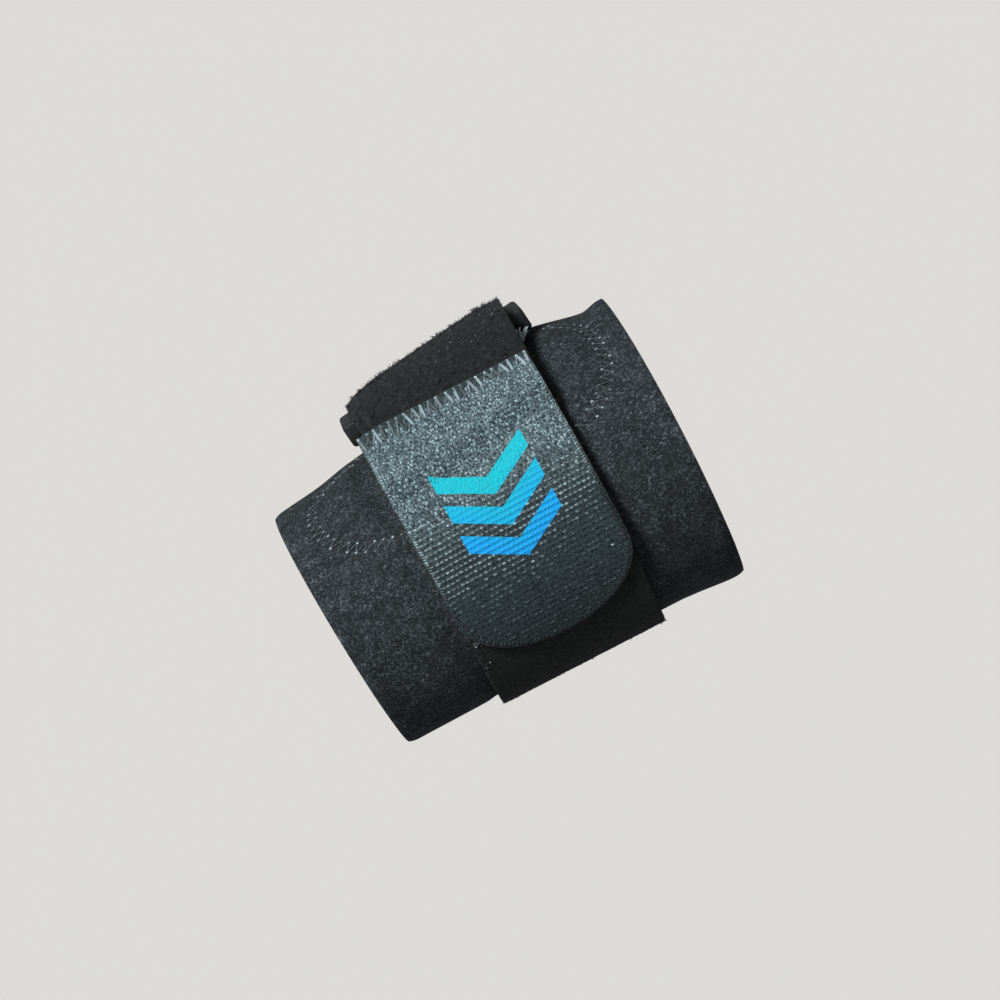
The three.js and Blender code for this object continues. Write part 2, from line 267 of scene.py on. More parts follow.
def strap_stations(step):
    """Stations of the pull strap, about step apart, from its root under the arm to its end under the tab."""
    half = STRAP_WIDTH / 2
    front = RING_ANGLE + BAR_LEAN
    found = []

    def count(degrees, radius=ARM_RADIUS):
        return max(3, round(math.radians(abs(degrees)) * radius / step))

    for angle in np.linspace(STRAP_ROOT_ANGLE, STRAP_LEAVE_ANGLE, count(STRAP_ROOT_ANGLE - STRAP_LEAVE_ANGLE)):
        at = lambda x, angle=angle: (angle + 0 * x, sleeve_radius(angle, x) + STRAP_ON_SLEEVE)
        found.append((at, strap_centre(angle), half))
    for share in np.linspace(0, 1, count(STRAP_LEAVE_ANGLE - front))[1:-1]:

        def at(x, share=share):
            start = round_bar(x, 1, STRAP_FOLD, UNDER_TURN)[0]
            angle = mix(STRAP_LEAVE_ANGLE, start, share)
            return leg(x, angle, 1, STRAP_FOLD, UNDER_TURN, STRAP_LEAVE_ANGLE, STRAP_ON_SLEEVE)

        found.append((at, strap_centre(mix(STRAP_LEAVE_ANGLE, front, share)), half))
    for turn in np.linspace(UNDER_TURN, OVER_TURN, count(OVER_TURN - UNDER_TURN, STRAP_FOLD["reach"] + STRAP_RISE)):
        at = lambda x, turn=turn: round_bar(x, 1, STRAP_FOLD, turn)
        found.append((at, strap_centre(front), half))
    for share in np.linspace(0, 1, count(STRAP_END_ANGLE - front, ARM_RADIUS * 1.2))[1:]:

        def at(x, share=share):
            start = round_bar(x, 1, STRAP_FOLD, OVER_TURN)[0]
            return strap_return(x, mix(start, STRAP_END_ANGLE, share))

        found.append((at, strap_centre(mix(front, STRAP_END_ANGLE, share)), half))
    return found


def loop_stations(step):
    """Stations of the loop: under leg, round the ring's rear bar, and back over itself."""
    half = LOOP_WIDTH / 2
    rear = RING_ANGLE - BAR_LEAN
    legs = max(8, round(math.radians(rear - LOOP_END_ANGLE) * ARM_RADIUS / step))
    folds = max(8, round(math.pi * LOOP_FOLD["reach"] / step))
    found = []
    for angle in np.linspace(LOOP_END_ANGLE, rear, legs)[:-1]:
        at = lambda x, angle=angle: leg(x, angle + 0 * x, -1, LOOP_FOLD, UNDER_TURN, LOOP_LOWER_LIE, LOOP_ON_SLEEVE)
        found.append((at, RING_PLACE, half))
    for turn in np.linspace(UNDER_TURN, OVER_TURN, folds):
        at = lambda x, turn=turn: round_bar(x, -1, LOOP_FOLD, turn)
        found.append((at, RING_PLACE, half))
    for angle in np.linspace(rear, LOOP_END_ANGLE, legs)[1:]:
        at = lambda x, angle=angle: leg(x, angle + 0 * x, -1, LOOP_FOLD, OVER_TURN, LOOP_UPPER_LIE, LOOP_ON_LOOP)
        found.append((at, RING_PLACE, half))
    return found


TAB_LENGTH = TAB_STRAIGHT + TAB_END


def tab_half_width(length):
    into_end = np.clip((length - TAB_STRAIGHT) / TAB_END, 0, 1)
    return TAB_WIDTH / 2 * np.sqrt(1 - into_end**2)


def tab_middle(length):
    """Angle and centre x of the tab at a length from its sewn end."""
    angle = TAB_ANGLE + np.degrees(length / (ARM_RADIUS + TAB_ON_STRAP))
    over = TAB_SET_OVER * np.maximum(0, 1 - length / TAB_SET_OVER_RUN)
    return angle, strap_centre(angle) - over


def tab_radius(angle, x):
    on_end = strap_return(x, angle)[1] + STRAP_THICKNESS / 2 + GAP + TAB_THICKNESS / 2 + TAB_ROOT_LIFT
    flat = sleeve_radius(angle, x) + TAB_ON_STRAP
    return mix(on_end, flat, ease((angle - STRAP_END_ANGLE - TAB_STEP_START) / TAB_STEP_RUN))


def tab_surface(length, side, height):
    """Points over the tab's middle layer: side is metres across from its centre line."""
    x = tab_middle(length)[1] + side
    angle = tab_middle(length + TAB_SLANT * side * (1 - length / TAB_LENGTH))[0]
    return place(x, angle, tab_radius(angle, x) + height)


def band_sheet(stations, across):
    """Middle points of a band and its normals, station by station. across holds shares from -1 to 1."""
    points = np.array([place(c + across * h, *at(c + across * h)) for at, c, h in stations])
    run = np.gradient(points, axis=0)
    run[..., 0] = 0
    run /= np.linalg.norm(run, axis=-1, keepdims=True)
    normals = np.stack([np.zeros_like(run[..., 0]), -run[..., 2], run[..., 1]], axis=-1)
    return points, normals


def path_length(points):
    steps = np.linalg.norm(np.diff(points, axis=0), axis=-1)
    return np.concatenate([[0], np.cumsum(steps)])


# Mesh work


def pick(piece):
    bpy.ops.object.select_all(action="DESELECT")
    piece.select_set(True)
    bpy.context.view_layer.objects.active = piece


def edit(piece, *steps):
    """Runs edit mode operators on all of a piece's faces."""
    pick(piece)
    bpy.ops.object.mode_set(mode="EDIT")
    bpy.ops.mesh.select_all(action="SELECT")
    for step in steps:
        step()
    bpy.ops.object.mode_set(mode="OBJECT")


def modify(piece, kind, **settings):
    """Adds a modifier with these settings and applies it."""
    pick(piece)
    modifier = piece.modifiers.new(kind.lower(), kind)
    for name, value in settings.items():
        setattr(modifier, name, value)
    bpy.ops.object.modifier_apply(modifier=modifier.name)


def corner_places(piece):
    places = np.empty(3 * len(piece.data.vertices), np.float32)
    piece.data.vertices.foreach_get("co", places)
    return places.reshape(-1, 3).astype(float)


def set_corners(piece, places):
    piece.data.vertices.foreach_set("co", np.asarray(places, np.float32).ravel())
    piece.data.update()


def laid_grid(name, columns, rows, lay):
    """A grid primitive whose corners go where lay(u, v) says, u along the columns, both from 0 to 1."""
    bpy.ops.object.select_all(action="DESELECT")
    bpy.ops.mesh.primitive_grid_add(x_subdivisions=columns, y_subdivisions=rows, size=1)
    piece = bpy.context.object
    piece.name = piece.data.name = name
    flat = corner_places(piece) + 0.5
    set_corners(piece, lay(np.clip(flat[:, 0], 0, 1), np.clip(flat[:, 1], 0, 1)))
    return piece


def sampled(grid, u, v):
    """Values of a fine grid of points at shares u and v, between its rows and columns."""
    rows, columns = grid.shape[:2]
    a = u * (rows - 1)
    b = v * (columns - 1)
    i = np.minimum(a.astype(int), rows - 2)
    j = np.minimum(b.astype(int), columns - 2)
    s = (a - i)[:, None]
    t = (b - j)[:, None]
    low = grid[i, j] * (1 - t) + grid[i, j + 1] * t
    high = grid[i + 1, j] * (1 - t) + grid[i + 1, j + 1] * t
    return low * (1 - s) + high * s


def smooth(piece):
    pick(piece)
    bpy.ops.object.shade_smooth()


def face_out(piece):
    edit(
        piece,
        lambda: bpy.ops.mesh.remove_doubles(threshold=0.00001),
        lambda: bpy.ops.mesh.normals_make_consistent(inside=False),
    )


def tone(piece, values, name="tone"):
    """Stores one number a corner, which the piece's material reads."""
    attribute = piece.data.attributes.new(name, "FLOAT", "POINT")
    attribute.data.foreach_set("value", np.asarray(values, np.float32))


def copies(name, stitch, origins, sideways, lengthways, upwards, tones=None, flat=None):
    """Copies of one small mesh, joined to one piece. The axes' lengths are the sizes of each copy.

    flat holds the same origins, sideways and lengthways axes on the unrolled cloth, as (aside, down).
    """
    shape = corner_places(stitch)
    faces = [tuple(face.vertices) for face in stitch.data.polygons]
    corners = (
        origins[:, None, :]
        + shape[None, :, 0, None] * sideways[:, None, :]
        + shape[None, :, 1, None] * lengthways[:, None, :]
        + shape[None, :, 2, None] * upwards[:, None, :]
    )
    size = len(shape)
    joined = [tuple(i + k * size for i in face) for k in range(len(origins)) for face in faces]
    mesh = bpy.data.meshes.new(name)
    mesh.from_pydata(corners.reshape(-1, 3).tolist(), [], joined)
    piece = bpy.data.objects.new(name, mesh)
    bpy.context.scene.collection.objects.link(piece)
    if tones is not None:
        tone(piece, np.repeat(tones, size))
    if flat is not None:
        at, across, along = flat
        spots = at[:, None, :] + shape[None, :, 0, None] * across[:, None, :] + shape[None, :, 1, None] * along[:, None, :]
        tone(piece, spots[..., 0].ravel(), "aside")
        tone(piece, spots[..., 1].ravel(), "down")
    smooth(piece)
    return piece


def remove(piece):
    bpy.data.objects.remove(piece, do_unlink=True)


def thread_bit():
    """A short arched thread of unit size along Y: the start of every stitch."""
    bpy.ops.object.select_all(action="DESELECT")
    bpy.ops.mesh.primitive_cylinder_add(vertices=6, radius=0.5, depth=1, end_fill_type="NGON")
    bit = bpy.context.object
    pick(bit)
    bpy.ops.object.mode_set(mode="EDIT")
    bpy.ops.mesh.select_all(action="SELECT")
    bpy.ops.transform.rotate(value=math.pi / 2, orient_axis="X", center_override=(0, 0, 0))
    for cut in (-0.3, 0, 0.3):
        bpy.ops.mesh.select_all(action="SELECT")
        bpy.ops.mesh.bisect(plane_co=(0, cut, 0), plane_no=(0, 1, 0))
    bpy.ops.object.mode_set(mode="OBJECT")
    places = corner_places(bit)
    arch = 1 - (2 * places[:, 1]) ** 2
    taper = np.where(np.abs(places[:, 1]) > 0.45, 0.6, 1.0)
    places[:, 0] *= taper
    places[:, 2] = places[:, 2] * taper + 0.9 * arch - 0.55
    set_corners(bit, places)
    return bit


def crossed(a, b):
    product = np.cross(a, b)
    return product / np.linalg.norm(product, axis=-1, keepdims=True)


def sewn(name, starts, ends, normals, thickness, tones, rise=1.0):
    """Stitches of thread from starts to ends, each bowed up along its normal, and flatter where rise is under 1."""
    run = ends - starts
    side = crossed(run, normals)
    up = crossed(side, run)
    bit = thread_bit()
    piece = copies(name, bit, (starts + ends) / 2, side * thickness, run, up * thickness * rise, tones)
    remove(bit)
    return piece


# Materials


def new_material(name, **values):
    """A material with a Principled shader, whose even values are set on its own sockets."""
    material = bpy.data.materials.new(name)
    material.use_nodes = True
    shader = material.node_tree.nodes["Principled BSDF"]
    for socket, value in values.items():
        shader.inputs[socket.replace("_", " ")].default_value = value
    return material, material.node_tree.nodes, material.node_tree.links, shader


def add_node(nodes, kind, **settings):
    node = nodes.new(kind)
    for name, value in settings.items():
        if name in node.inputs.keys():
            node.inputs[name].default_value = value
        else:
            setattr(node, name, value)
    return node


def ramp(nodes, links, source, *stops):
    """A colour ramp over source. Each stop is a place and a colour."""
    node = nodes.new("ShaderNodeValToRGB")
    elements = node.color_ramp.elements
    while len(elements) < len(stops):
        elements.new(0.5)
    for element, (position, colour) in zip(elements, stops):
        element.position = position
        element.color = (*colour, 1)
    links.new(source, node.inputs["Fac"])
    return node.outputs["Color"]


def calculate(nodes, links, operation, *values, clamp=False):
    node = nodes.new("ShaderNodeMath")
    node.operation = operation
    node.use_clamp = clamp
    for socket, value in zip(node.inputs, values):
        if isinstance(value, (int, float)):
            socket.default_value = value
        else:
            links.new(value, socket)
    return node.outputs[0]


def bump(nodes, links, shader, height, distance, strength=1.0, under=None):
    node = nodes.new("ShaderNodeBump")
    node.inputs["Strength"].default_value = strength
    node.inputs["Distance"].default_value = distance
    links.new(height, node.inputs["Height"])
    if under is not None:
        links.new(under, node.inputs["Normal"])
    links.new(node.outputs["Normal"], shader.inputs["Normal"])
    return node.outputs["Normal"]


def object_places(nodes):
    return nodes.new("ShaderNodeTexCoord").outputs["Object"]


def jersey_material(name, ground, curl_and_glint):
    """Fine jersey over foam rubber: a matte ground strewn with small broken curled fibres, coloured lighter where the
    bump stands up and darker in its hollows: partly the knit's own light fibres and uneven tone, partly painted glints
    and painted shade.
    """
    material, nodes, links, shader = new_material(
        name, Roughness=0.8, Sheen_Weight=0.01, Sheen_Roughness=0.4, Specular_IOR_Level=0.06
    )
    spots = object_places(nodes)

    def grain(size, detail, roughness=0.5):
        node = add_node(nodes, "ShaderNodeTexNoise", Scale=1 / size, Detail=detail, Roughness=roughness)
        links.new(spots, node.inputs["Vector"])
        return node.outputs["Fac"]

    wander = calculate(nodes, links, "SUBTRACT", grain(2.2 * MM, 3.0, 0.6), 0.5)
    wander = calculate(nodes, links, "ABSOLUTE", wander)
    lines = calculate(nodes, links, "MULTIPLY_ADD", wander, -18.0, 1.0, clamp=True)
    breaks = calculate(nodes, links, "MULTIPLY_ADD", grain(0.9 * MM, 1.0), 6.0, -3.1, clamp=True)
    patches = calculate(nodes, links, "MULTIPLY_ADD", grain(8 * MM, 3.0), 2.4, -0.7, clamp=True)
    curls_and_glints = calculate(nodes, links, "MULTIPLY", calculate(nodes, links, "MULTIPLY", lines, breaks), patches)
    loops = grain(0.62 * MM, 2.0, 0.65)
    nap = grain(3.2 * MM, 2.0)
    # Painted light: the colour follows the bump, lighter on raised fibres as painted glints and darker in the hollows
    # as painted shade
    base = calculate(nodes, links, "MULTIPLY_ADD", nap, 0.25, calculate(nodes, links, "MULTIPLY", loops, 0.75))
    base = calculate(nodes, links, "MULTIPLY_ADD", curls_and_glints, 0.45, base)
    low = np.array(ground)
    high = np.array(curl_and_glint)
    colour = ramp(nodes, links, base, (0.34, 0.62 * low), (0.5, low), (0.63, mix(low, high, 0.35)), (0.86, high))
    links.new(colour, shader.inputs["Base Color"])
    height = calculate(nodes, links, "MULTIPLY_ADD", curls_and_glints, 0.5, loops)
    bump(nodes, links, shader, height, 0.22 * MM, 0.6)
    return material


def foam_rubber_material():
    """Cut edge of the foam rubber: dark and finely pored between its two knit faces."""
    material, nodes, links, shader = new_material("foam_rubber_edge", Roughness=0.85, Specular_IOR_Level=0.2)
    spots = object_places(nodes)
    pores = add_node(nodes, "ShaderNodeTexVoronoi", Scale=1 / (0.5 * MM))
    links.new(spots, pores.inputs["Vector"])
    colour = ramp(nodes, links, pores.outputs["Distance"], (0.1, (0.014, 0.014, 0.015)), (0.5, (0.034, 0.036, 0.037)))
    links.new(colour, shader.inputs["Base Color"])
    bump(nodes, links, shader, pores.outputs["Distance"], 0.2 * MM, 0.8)
    return material


def pile_material():
    """Brushed loop pile: matte, a little uneven in tone, and darker between its tufts where its bump is low: painted
    shade in the pile's hollows.
    """
    material, nodes, links, shader = new_material(
        "brushed_loop_pile", Roughness=0.95, Sheen_Weight=0.04, Sheen_Roughness=0.6, Specular_IOR_Level=0.12
    )
    spots = object_places(nodes)
    tufts = add_node(nodes, "ShaderNodeTexNoise", Scale=1 / (1.3 * MM), Detail=5.0, Roughness=0.65)
    links.new(spots, tufts.inputs["Vector"])
    strands = add_node(nodes, "ShaderNodeTexVoronoi", Scale=1 / (0.55 * MM))
    links.new(spots, strands.inputs["Vector"])
    # Painted shade: the colour darkens where the tufts' bump is low
    colour = ramp(
        nodes, links, tufts.outputs["Fac"], (0.3, (0.012, 0.0135, 0.014)), (0.52, (0.0185, 0.0205, 0.021)), (0.8, (0.04, 0.046, 0.048))
    )
    links.new(colour, shader.inputs["Base Color"])
    height = calculate(nodes, links, "SUBTRACT", tufts.outputs["Fac"], strands.outputs["Distance"])
    bump(nodes, links, shader, height, 0.45 * MM, 0.8)
    return material


def fibre_material():
    material, nodes, links, shader = new_material(
        "pile_fibres", Roughness=0.8, Sheen_Weight=0.03, Specular_IOR_Level=0.2
    )
    shade = add_node(nodes, "ShaderNodeAttribute", attribute_name="tone")
    colour = ramp(nodes, links, shade.outputs["Fac"], (0.0, (0.012, 0.013, 0.0135)), (0.8, (0.026, 0.0295, 0.031)), (1.0, (0.07, 0.08, 0.084)))
    links.new(colour, shader.inputs["Base Color"])
    return material


def thread_material(name, dark, light, roughness=0.55, marked=False):
    """Twisted sewing thread or yarn, each stitch in its own tone."""
    material, nodes, links, shader = new_material(
        name, Roughness=roughness, Sheen_Weight=0.04, Sheen_Roughness=0.4, Specular_IOR_Level=0.3
    )
    shade = add_node(nodes, "ShaderNodeAttribute", attribute_name="tone")
    colour = ramp(nodes, links, shade.outputs["Fac"], (0.0, dark), (1.0, light))
    if marked:
        colour = printed(nodes, links, colour)
    links.new(colour, shader.inputs["Base Color"])
    twist = add_node(nodes, "ShaderNodeTexNoise", Scale=1 / (0.22 * MM), Detail=2.0)
    links.new(object_places(nodes), twist.inputs["Vector"])
    bump(nodes, links, shader, twist.outputs["Fac"], 0.12 * MM, 0.7)
    return material


# Where the tab's weave has changed from loose flecks to tight rows, and over what run
WEAVE_CHANGE = 38 * MM
WEAVE_CHANGE_RUN = 18 * MM

# Printed marks on the tab: three plain chevrons that point the way the tab is pulled
MARK_START = 24 * MM
MARK_PITCH = 8.6 * MM
MARK_COUNT = 3
MARK_BAR_SHARE = 0.58
MARK_HALF_WIDTH = 13 * MM
MARK_SLOPE = 0.55


def printed(nodes, links, colour):
    """Mixes the chevrons' ink over a colour. The piece says where it is in aside and down, in metres."""
    aside = add_node(nodes, "ShaderNodeAttribute", attribute_name="aside").outputs["Fac"]
    down = add_node(nodes, "ShaderNodeAttribute", attribute_name="down").outputs["Fac"]
    off_centre = calculate(nodes, links, "ABSOLUTE", aside)
    along = calculate(nodes, links, "MULTIPLY_ADD", off_centre, MARK_SLOPE, down)
    turns = calculate(nodes, links, "SUBTRACT", along, MARK_START)
    turns = calculate(nodes, links, "DIVIDE", turns, MARK_PITCH)
    within = calculate(nodes, links, "FRACT", turns)
    bar = calculate(nodes, links, "LESS_THAN", within, MARK_BAR_SHARE)
    first = calculate(nodes, links, "GREATER_THAN", turns, 0.0)
    last = calculate(nodes, links, "LESS_THAN", turns, float(MARK_COUNT))
    narrow = calculate(nodes, links, "LESS_THAN", off_centre, MARK_HALF_WIDTH)
    mask = bar
    for part in (first, last, narrow):
        mask = calculate(nodes, links, "MULTIPLY", mask, part)
    share = calculate(nodes, links, "DIVIDE", turns, float(MARK_COUNT))
    ink = ramp(nodes, links, share, (0.1, (0.01, 0.235, 0.27)), (0.95, (0.01, 0.175, 0.355)))
    mixer = nodes.new("ShaderNodeMix")
    mixer.data_type = "RGBA"
    links.new(calculate(nodes, links, "MULTIPLY", mask, 0.94), mixer.inputs["Factor"])
    links.new(colour, mixer.inputs[6])
    links.new(ink, mixer.inputs[7])
    return mixer.outputs[2]


def tab_ground_material():
    """Ground of the tab: flecked blue-grey where the weave is loose, near black between the rows below."""
    material, nodes, links, shader = new_material(
        "tab_ground_weave", Roughness=0.8, Sheen_Weight=0.02, Specular_IOR_Level=0.15
    )
    fine = add_node(nodes, "ShaderNodeTexNoise", Scale=1 / (0.55 * MM), Detail=3.0, Roughness=0.6)
    links.new(object_places(nodes), fine.inputs["Vector"])
    fleck = fine.outputs["Fac"]
    dark = ramp(nodes, links, fleck, (0.35, (0.014, 0.0195, 0.021)), (0.7, (0.047, 0.064, 0.069)))
    pale = ramp(nodes, links, fleck, (0.38, (0.019, 0.027, 0.03)), (0.5, (0.052, 0.073, 0.081)), (0.64, (0.125, 0.163, 0.174)))
    down = add_node(nodes, "ShaderNodeAttribute", attribute_name="down").outputs["Fac"]
    loose = calculate(nodes, links, "MULTIPLY_ADD", down, -1 / WEAVE_CHANGE_RUN, WEAVE_CHANGE / WEAVE_CHANGE_RUN, clamp=True)
    below_seam = calculate(nodes, links, "MULTIPLY_ADD", down, 1 / (2.4 * MM), -0.4, clamp=True)
    loose = calculate(nodes, links, "MULTIPLY", loose, below_seam)
    mixer = nodes.new("ShaderNodeMix")
    mixer.data_type = "RGBA"
    links.new(loose, mixer.inputs["Factor"])
    links.new(dark, mixer.inputs[6])
    links.new(pale, mixer.inputs[7])
    links.new(printed(nodes, links, mixer.outputs[2]), shader.inputs["Base Color"])
    bump(nodes, links, shader, fleck, 0.3 * MM, 0.8)
    return material


def webbing_material():
    """Plain woven black webbing."""
    material, nodes, links, shader = new_material(
        "black_webbing", Roughness=0.75, Sheen_Weight=0.03, Specular_IOR_Level=0.25
    )
    spots = object_places(nodes)
    fine = add_node(nodes, "ShaderNodeTexNoise", Scale=1 / (0.6 * MM), Detail=4.0)
    links.new(spots, fine.inputs["Vector"])
    colour = ramp(nodes, links, fine.outputs["Fac"], (0.35, (0.013, 0.014, 0.015)), (0.75, (0.036, 0.04, 0.042)))
    links.new(colour, shader.inputs["Base Color"])
    bump(nodes, links, shader, fine.outputs["Fac"], 0.2 * MM, 0.8)
    return material


def ring_material():
    """Moulded black plastic, satin, with a fine spark-eroded grain and broad smears in its tone and gloss."""
    material, nodes, links, shader = new_material(
        "moulded_ring_plastic", Specular_IOR_Level=0.2
    )
    spots = object_places(nodes)
    grain = add_node(nodes, "ShaderNodeTexNoise", Scale=1 / (0.25 * MM), Detail=3.0)
    links.new(spots, grain.inputs["Vector"])
    smears = add_node(nodes, "ShaderNodeTexNoise", Scale=1 / (5 * MM), Detail=4.0)
    links.new(spots, smears.inputs["Vector"])
    colour = ramp(nodes, links, smears.outputs["Fac"], (0.35, (0.018, 0.0195, 0.0205)), (0.7, (0.027, 0.0295, 0.031)))
    links.new(colour, shader.inputs["Base Color"])
    rough = calculate(nodes, links, "MULTIPLY_ADD", smears.outputs["Fac"], 0.25, 0.5)
    links.new(rough, shader.inputs["Roughness"])
    bump(nodes, links, shader, grain.outputs["Fac"], 0.05 * MM, 0.5)
    return material


def paint(piece, material):
    piece.data.materials.clear()
    piece.data.materials.append(material)


def settle(piece, material, node=None):
    """Gives a finished piece its material, its body and what it stands for."""
    if material:
        paint(piece, material)
    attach(piece, "root")
    if node:
        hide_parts(node)
    return piece


# Sleeve

SLEEVE_COLUMNS = 360
SLEEVE_ROWS = 104
SEAM_DIP = 0.4 * MM
SEAM_DIP_REACH = 1.3 * MM
PUCKER = 0.14 * MM
PUCKER_PITCH = 2.8 * MM
RIM_ROLL = 0.5 * MM
RIM_ROLL_RUN = 2.4 * MM
SOFT_WAVES = 0.28 * MM


def seam_distance(angle, x):
    """About how far a point of the sleeve lies from the pad's seam, in metres."""
    along = np.abs(x - PAD_PLACE) / (PAD_LENGTH / 2 - PAD_SEAM_INSET)
    round_ = np.abs(wrapped(angle) - PAD_ANGLE) / PAD_HALF_ANGLE / seam_spread(x)
    inside = 1 - along**PAD_SQUARENESS - round_**PAD_SQUARENESS
    power = PAD_SQUARENESS - 1
    grow_x = PAD_SQUARENESS * along**power / (PAD_LENGTH / 2)
    grow_round = PAD_SQUARENESS * round_**power / (math.radians(PAD_HALF_ANGLE) * ARM_RADIUS)
    return np.abs(inside) / np.maximum(np.hypot(grow_x, grow_round), 1.0)


def noise_at(points, scale, seed):
    offset = Vector((seed, 2 * seed, 3 * seed))
    return np.array([noise.noise(Vector(point) / scale + offset) for point in points])


def sleeve_face(angle, x):
    """Outer radius of the sewn sleeve: soft waves, and the pad's seam drawn in with its puckers."""
    radius = sleeve_radius(angle, x)
    away = seam_distance(angle, x)
    free = ease((np.abs(x) - BED_REACH) / (3 * MM))
    dip = SEAM_DIP * np.exp(-((away / SEAM_DIP_REACH) ** 2))
    round_ = np.radians(wrapped(angle) - PAD_ANGLE) * ARM_RADIUS
    pucker = PUCKER * np.sin(2 * math.pi * (round_ + 0.6 * x) / PUCKER_PITCH)
    pucker *= np.exp(-((away / (3 * SEAM_DIP_REACH)) ** 2))
    closing = 0.5 * SEAM_DIP * np.exp(-((wrapped(angle - CLOSING_ANGLE) / CLOSING_REACH) ** 2))
    waves = SOFT_WAVES * noise_at(place(x, angle, radius), 12 * MM, 3.0)
    to_rim = np.minimum(x + WRIST_REACH, elbow_edge(angle) - x)
    roll = RIM_ROLL * np.clip(1 - to_rim / RIM_ROLL_RUN, 0, 1) ** 2
    return radius + free * (waves + pucker - dip - closing) - roll


def sleeve():
    def lay(u, v):
        angle = 360 * u
        x = mix(-WRIST_REACH, elbow_edge(angle), v)
        return place(x, angle, sleeve_face(angle, x))

    piece = laid_grid("sleeve_shell", SLEEVE_COLUMNS, SLEEVE_ROWS, lay)
    face_out(piece)
    paint(piece, jersey_material("sleeve_jersey", (0.0262, 0.03, 0.0325), (0.105, 0.121, 0.132)))
    piece.data.materials.append(foam_rubber_material())
    modify(piece, "SOLIDIFY", thickness=SLEEVE_WALL, offset=-1, use_rim=True, material_offset_rim=1)
    modify(piece, "BEVEL", width=RIM_ROUND, segments=3, limit_method="ANGLE", angle_limit=math.radians(60))
    smooth(piece)
    settle(piece, None, "sleeve")


SEAM_HALF_ANGLES = (33.0, 37.5)


def seam_spread(x):
    """How much wider than the pad its seam runs, more towards the elbow."""
    return mix(*SEAM_HALF_ANGLES, (x - PAD_PLACE) / PAD_LENGTH + 0.5) / PAD_HALF_ANGLE


def outline(count, inset=0.0):
    """Angles and x round the pad's seam, evenly spaced by length, inset metres in from its edge."""
    turn = np.linspace(0, 2 * math.pi, 4001)
    reach = PAD_LENGTH / 2 - inset
    half = math.radians(PAD_HALF_ANGLE) * ARM_RADIUS - inset
    bend = 2 / PAD_SQUARENESS
    x = reach * np.sign(np.cos(turn)) * np.abs(np.cos(turn)) ** bend
    round_ = half * np.sign(np.sin(turn)) * np.abs(np.sin(turn)) ** bend * seam_spread(PAD_PLACE + x)
    length = path_length(np.stack([x, round_], axis=1))
    even = np.linspace(0, length[-1], count, endpoint=False)
    x = np.interp(even, length, x)
    round_ = np.interp(even, length, round_)
    return PAD_ANGLE + np.degrees(round_ / ARM_RADIUS), PAD_PLACE + x


def under_strap(angle, x, margin=0.4 * MM):
    return np.abs(x - strap_centre(angle)) < STRAP_WIDTH / 2 + margin


PAD_SEAM_WIDTH = 2.5 * MM
PAD_SEAM_STEP = 1.25 * MM
PAD_SEAM_INSET = 1.0 * MM
SEAM_THREAD = 0.32 * MM
SUNK_THREAD = 0.24 * MM
KNOT_LENGTH = 0.95 * MM
KNOT_THICKNESS = 0.6 * MM


def outline_zigzag():
    """Corners of the zigzag round the pad's outline, one after another."""
    round_length = 2 * (PAD_LENGTH + 2 * math.radians(PAD_HALF_ANGLE) * ARM_RADIUS) * 0.86
    count = 2 * round(round_length / PAD_SEAM_STEP / 2)
    outer = outline(count, PAD_SEAM_INSET - PAD_SEAM_WIDTH / 2)
    inner = outline(count, PAD_SEAM_INSET + PAD_SEAM_WIDTH / 2)
    odd = np.arange(count) % 2 == 1
    return np.where(odd, outer[0], inner[0]), np.where(odd, outer[1], inner[1])


def pad_seam(random):
    """Zigzag that sews the pad into the sleeve, seen on the outer face beside the strap and inside on the pad."""
    angle, x = outline_zigzag()
    end_angle = np.roll(angle, -1)
    end_x = np.roll(x, -1)
    seen = ~(under_strap(angle, x) | under_strap(end_angle, end_x))
    points = place(x, angle, sleeve_face(angle, x))
    ends = place(end_x, end_angle, sleeve_face(end_angle, end_x))
    up = outward((angle + end_angle) / 2)
    tones = random.random(len(x)) ** 1.3
    # Painted light: the runs outside stay as dark as the jersey, painted shade in the seam's dip, and the knots at the
    # zigzag's corners get a lighter copy of the same thread, a painted highlight
    outer = sewn("pad_seam_outside", points[seen], ends[seen], up[seen], SUNK_THREAD, 0.5 + 0.5 * tones[seen], 0.4)
    thread = thread_material("seam_thread", (0.03, 0.034, 0.036), (0.085, 0.097, 0.103))
    settle(outer, thread)
    along = np.array([KNOT_LENGTH / 2, 0, 0])
    spots = points[seen]
    knots = sewn("pad_seam_knots", spots - along, spots + along, outward(angle[seen]), KNOT_THICKNESS, tones[seen], 0.4)
    settle(knots, thread_material("seam_knot_highlight_thread", (0.036, 0.042, 0.045), (0.2, 0.235, 0.25)))

    def inside(angle, x):
        return place(x, angle, sleeve_radius(angle, x) - SLEEVE_WALL - 0.2 * SEAM_THREAD)

    inner = sewn("pad_seam_inside", inside(angle, x), inside(end_angle, end_x), -up, SEAM_THREAD, tones)
    settle(inner, thread)
    return thread


CLOSING_ANGLE = 232.0
CLOSING_REACH = 1.6
CLOSING_SEAM_WIDTH = 4.5 * MM
CLOSING_SEAM_STEP = 1.5 * MM


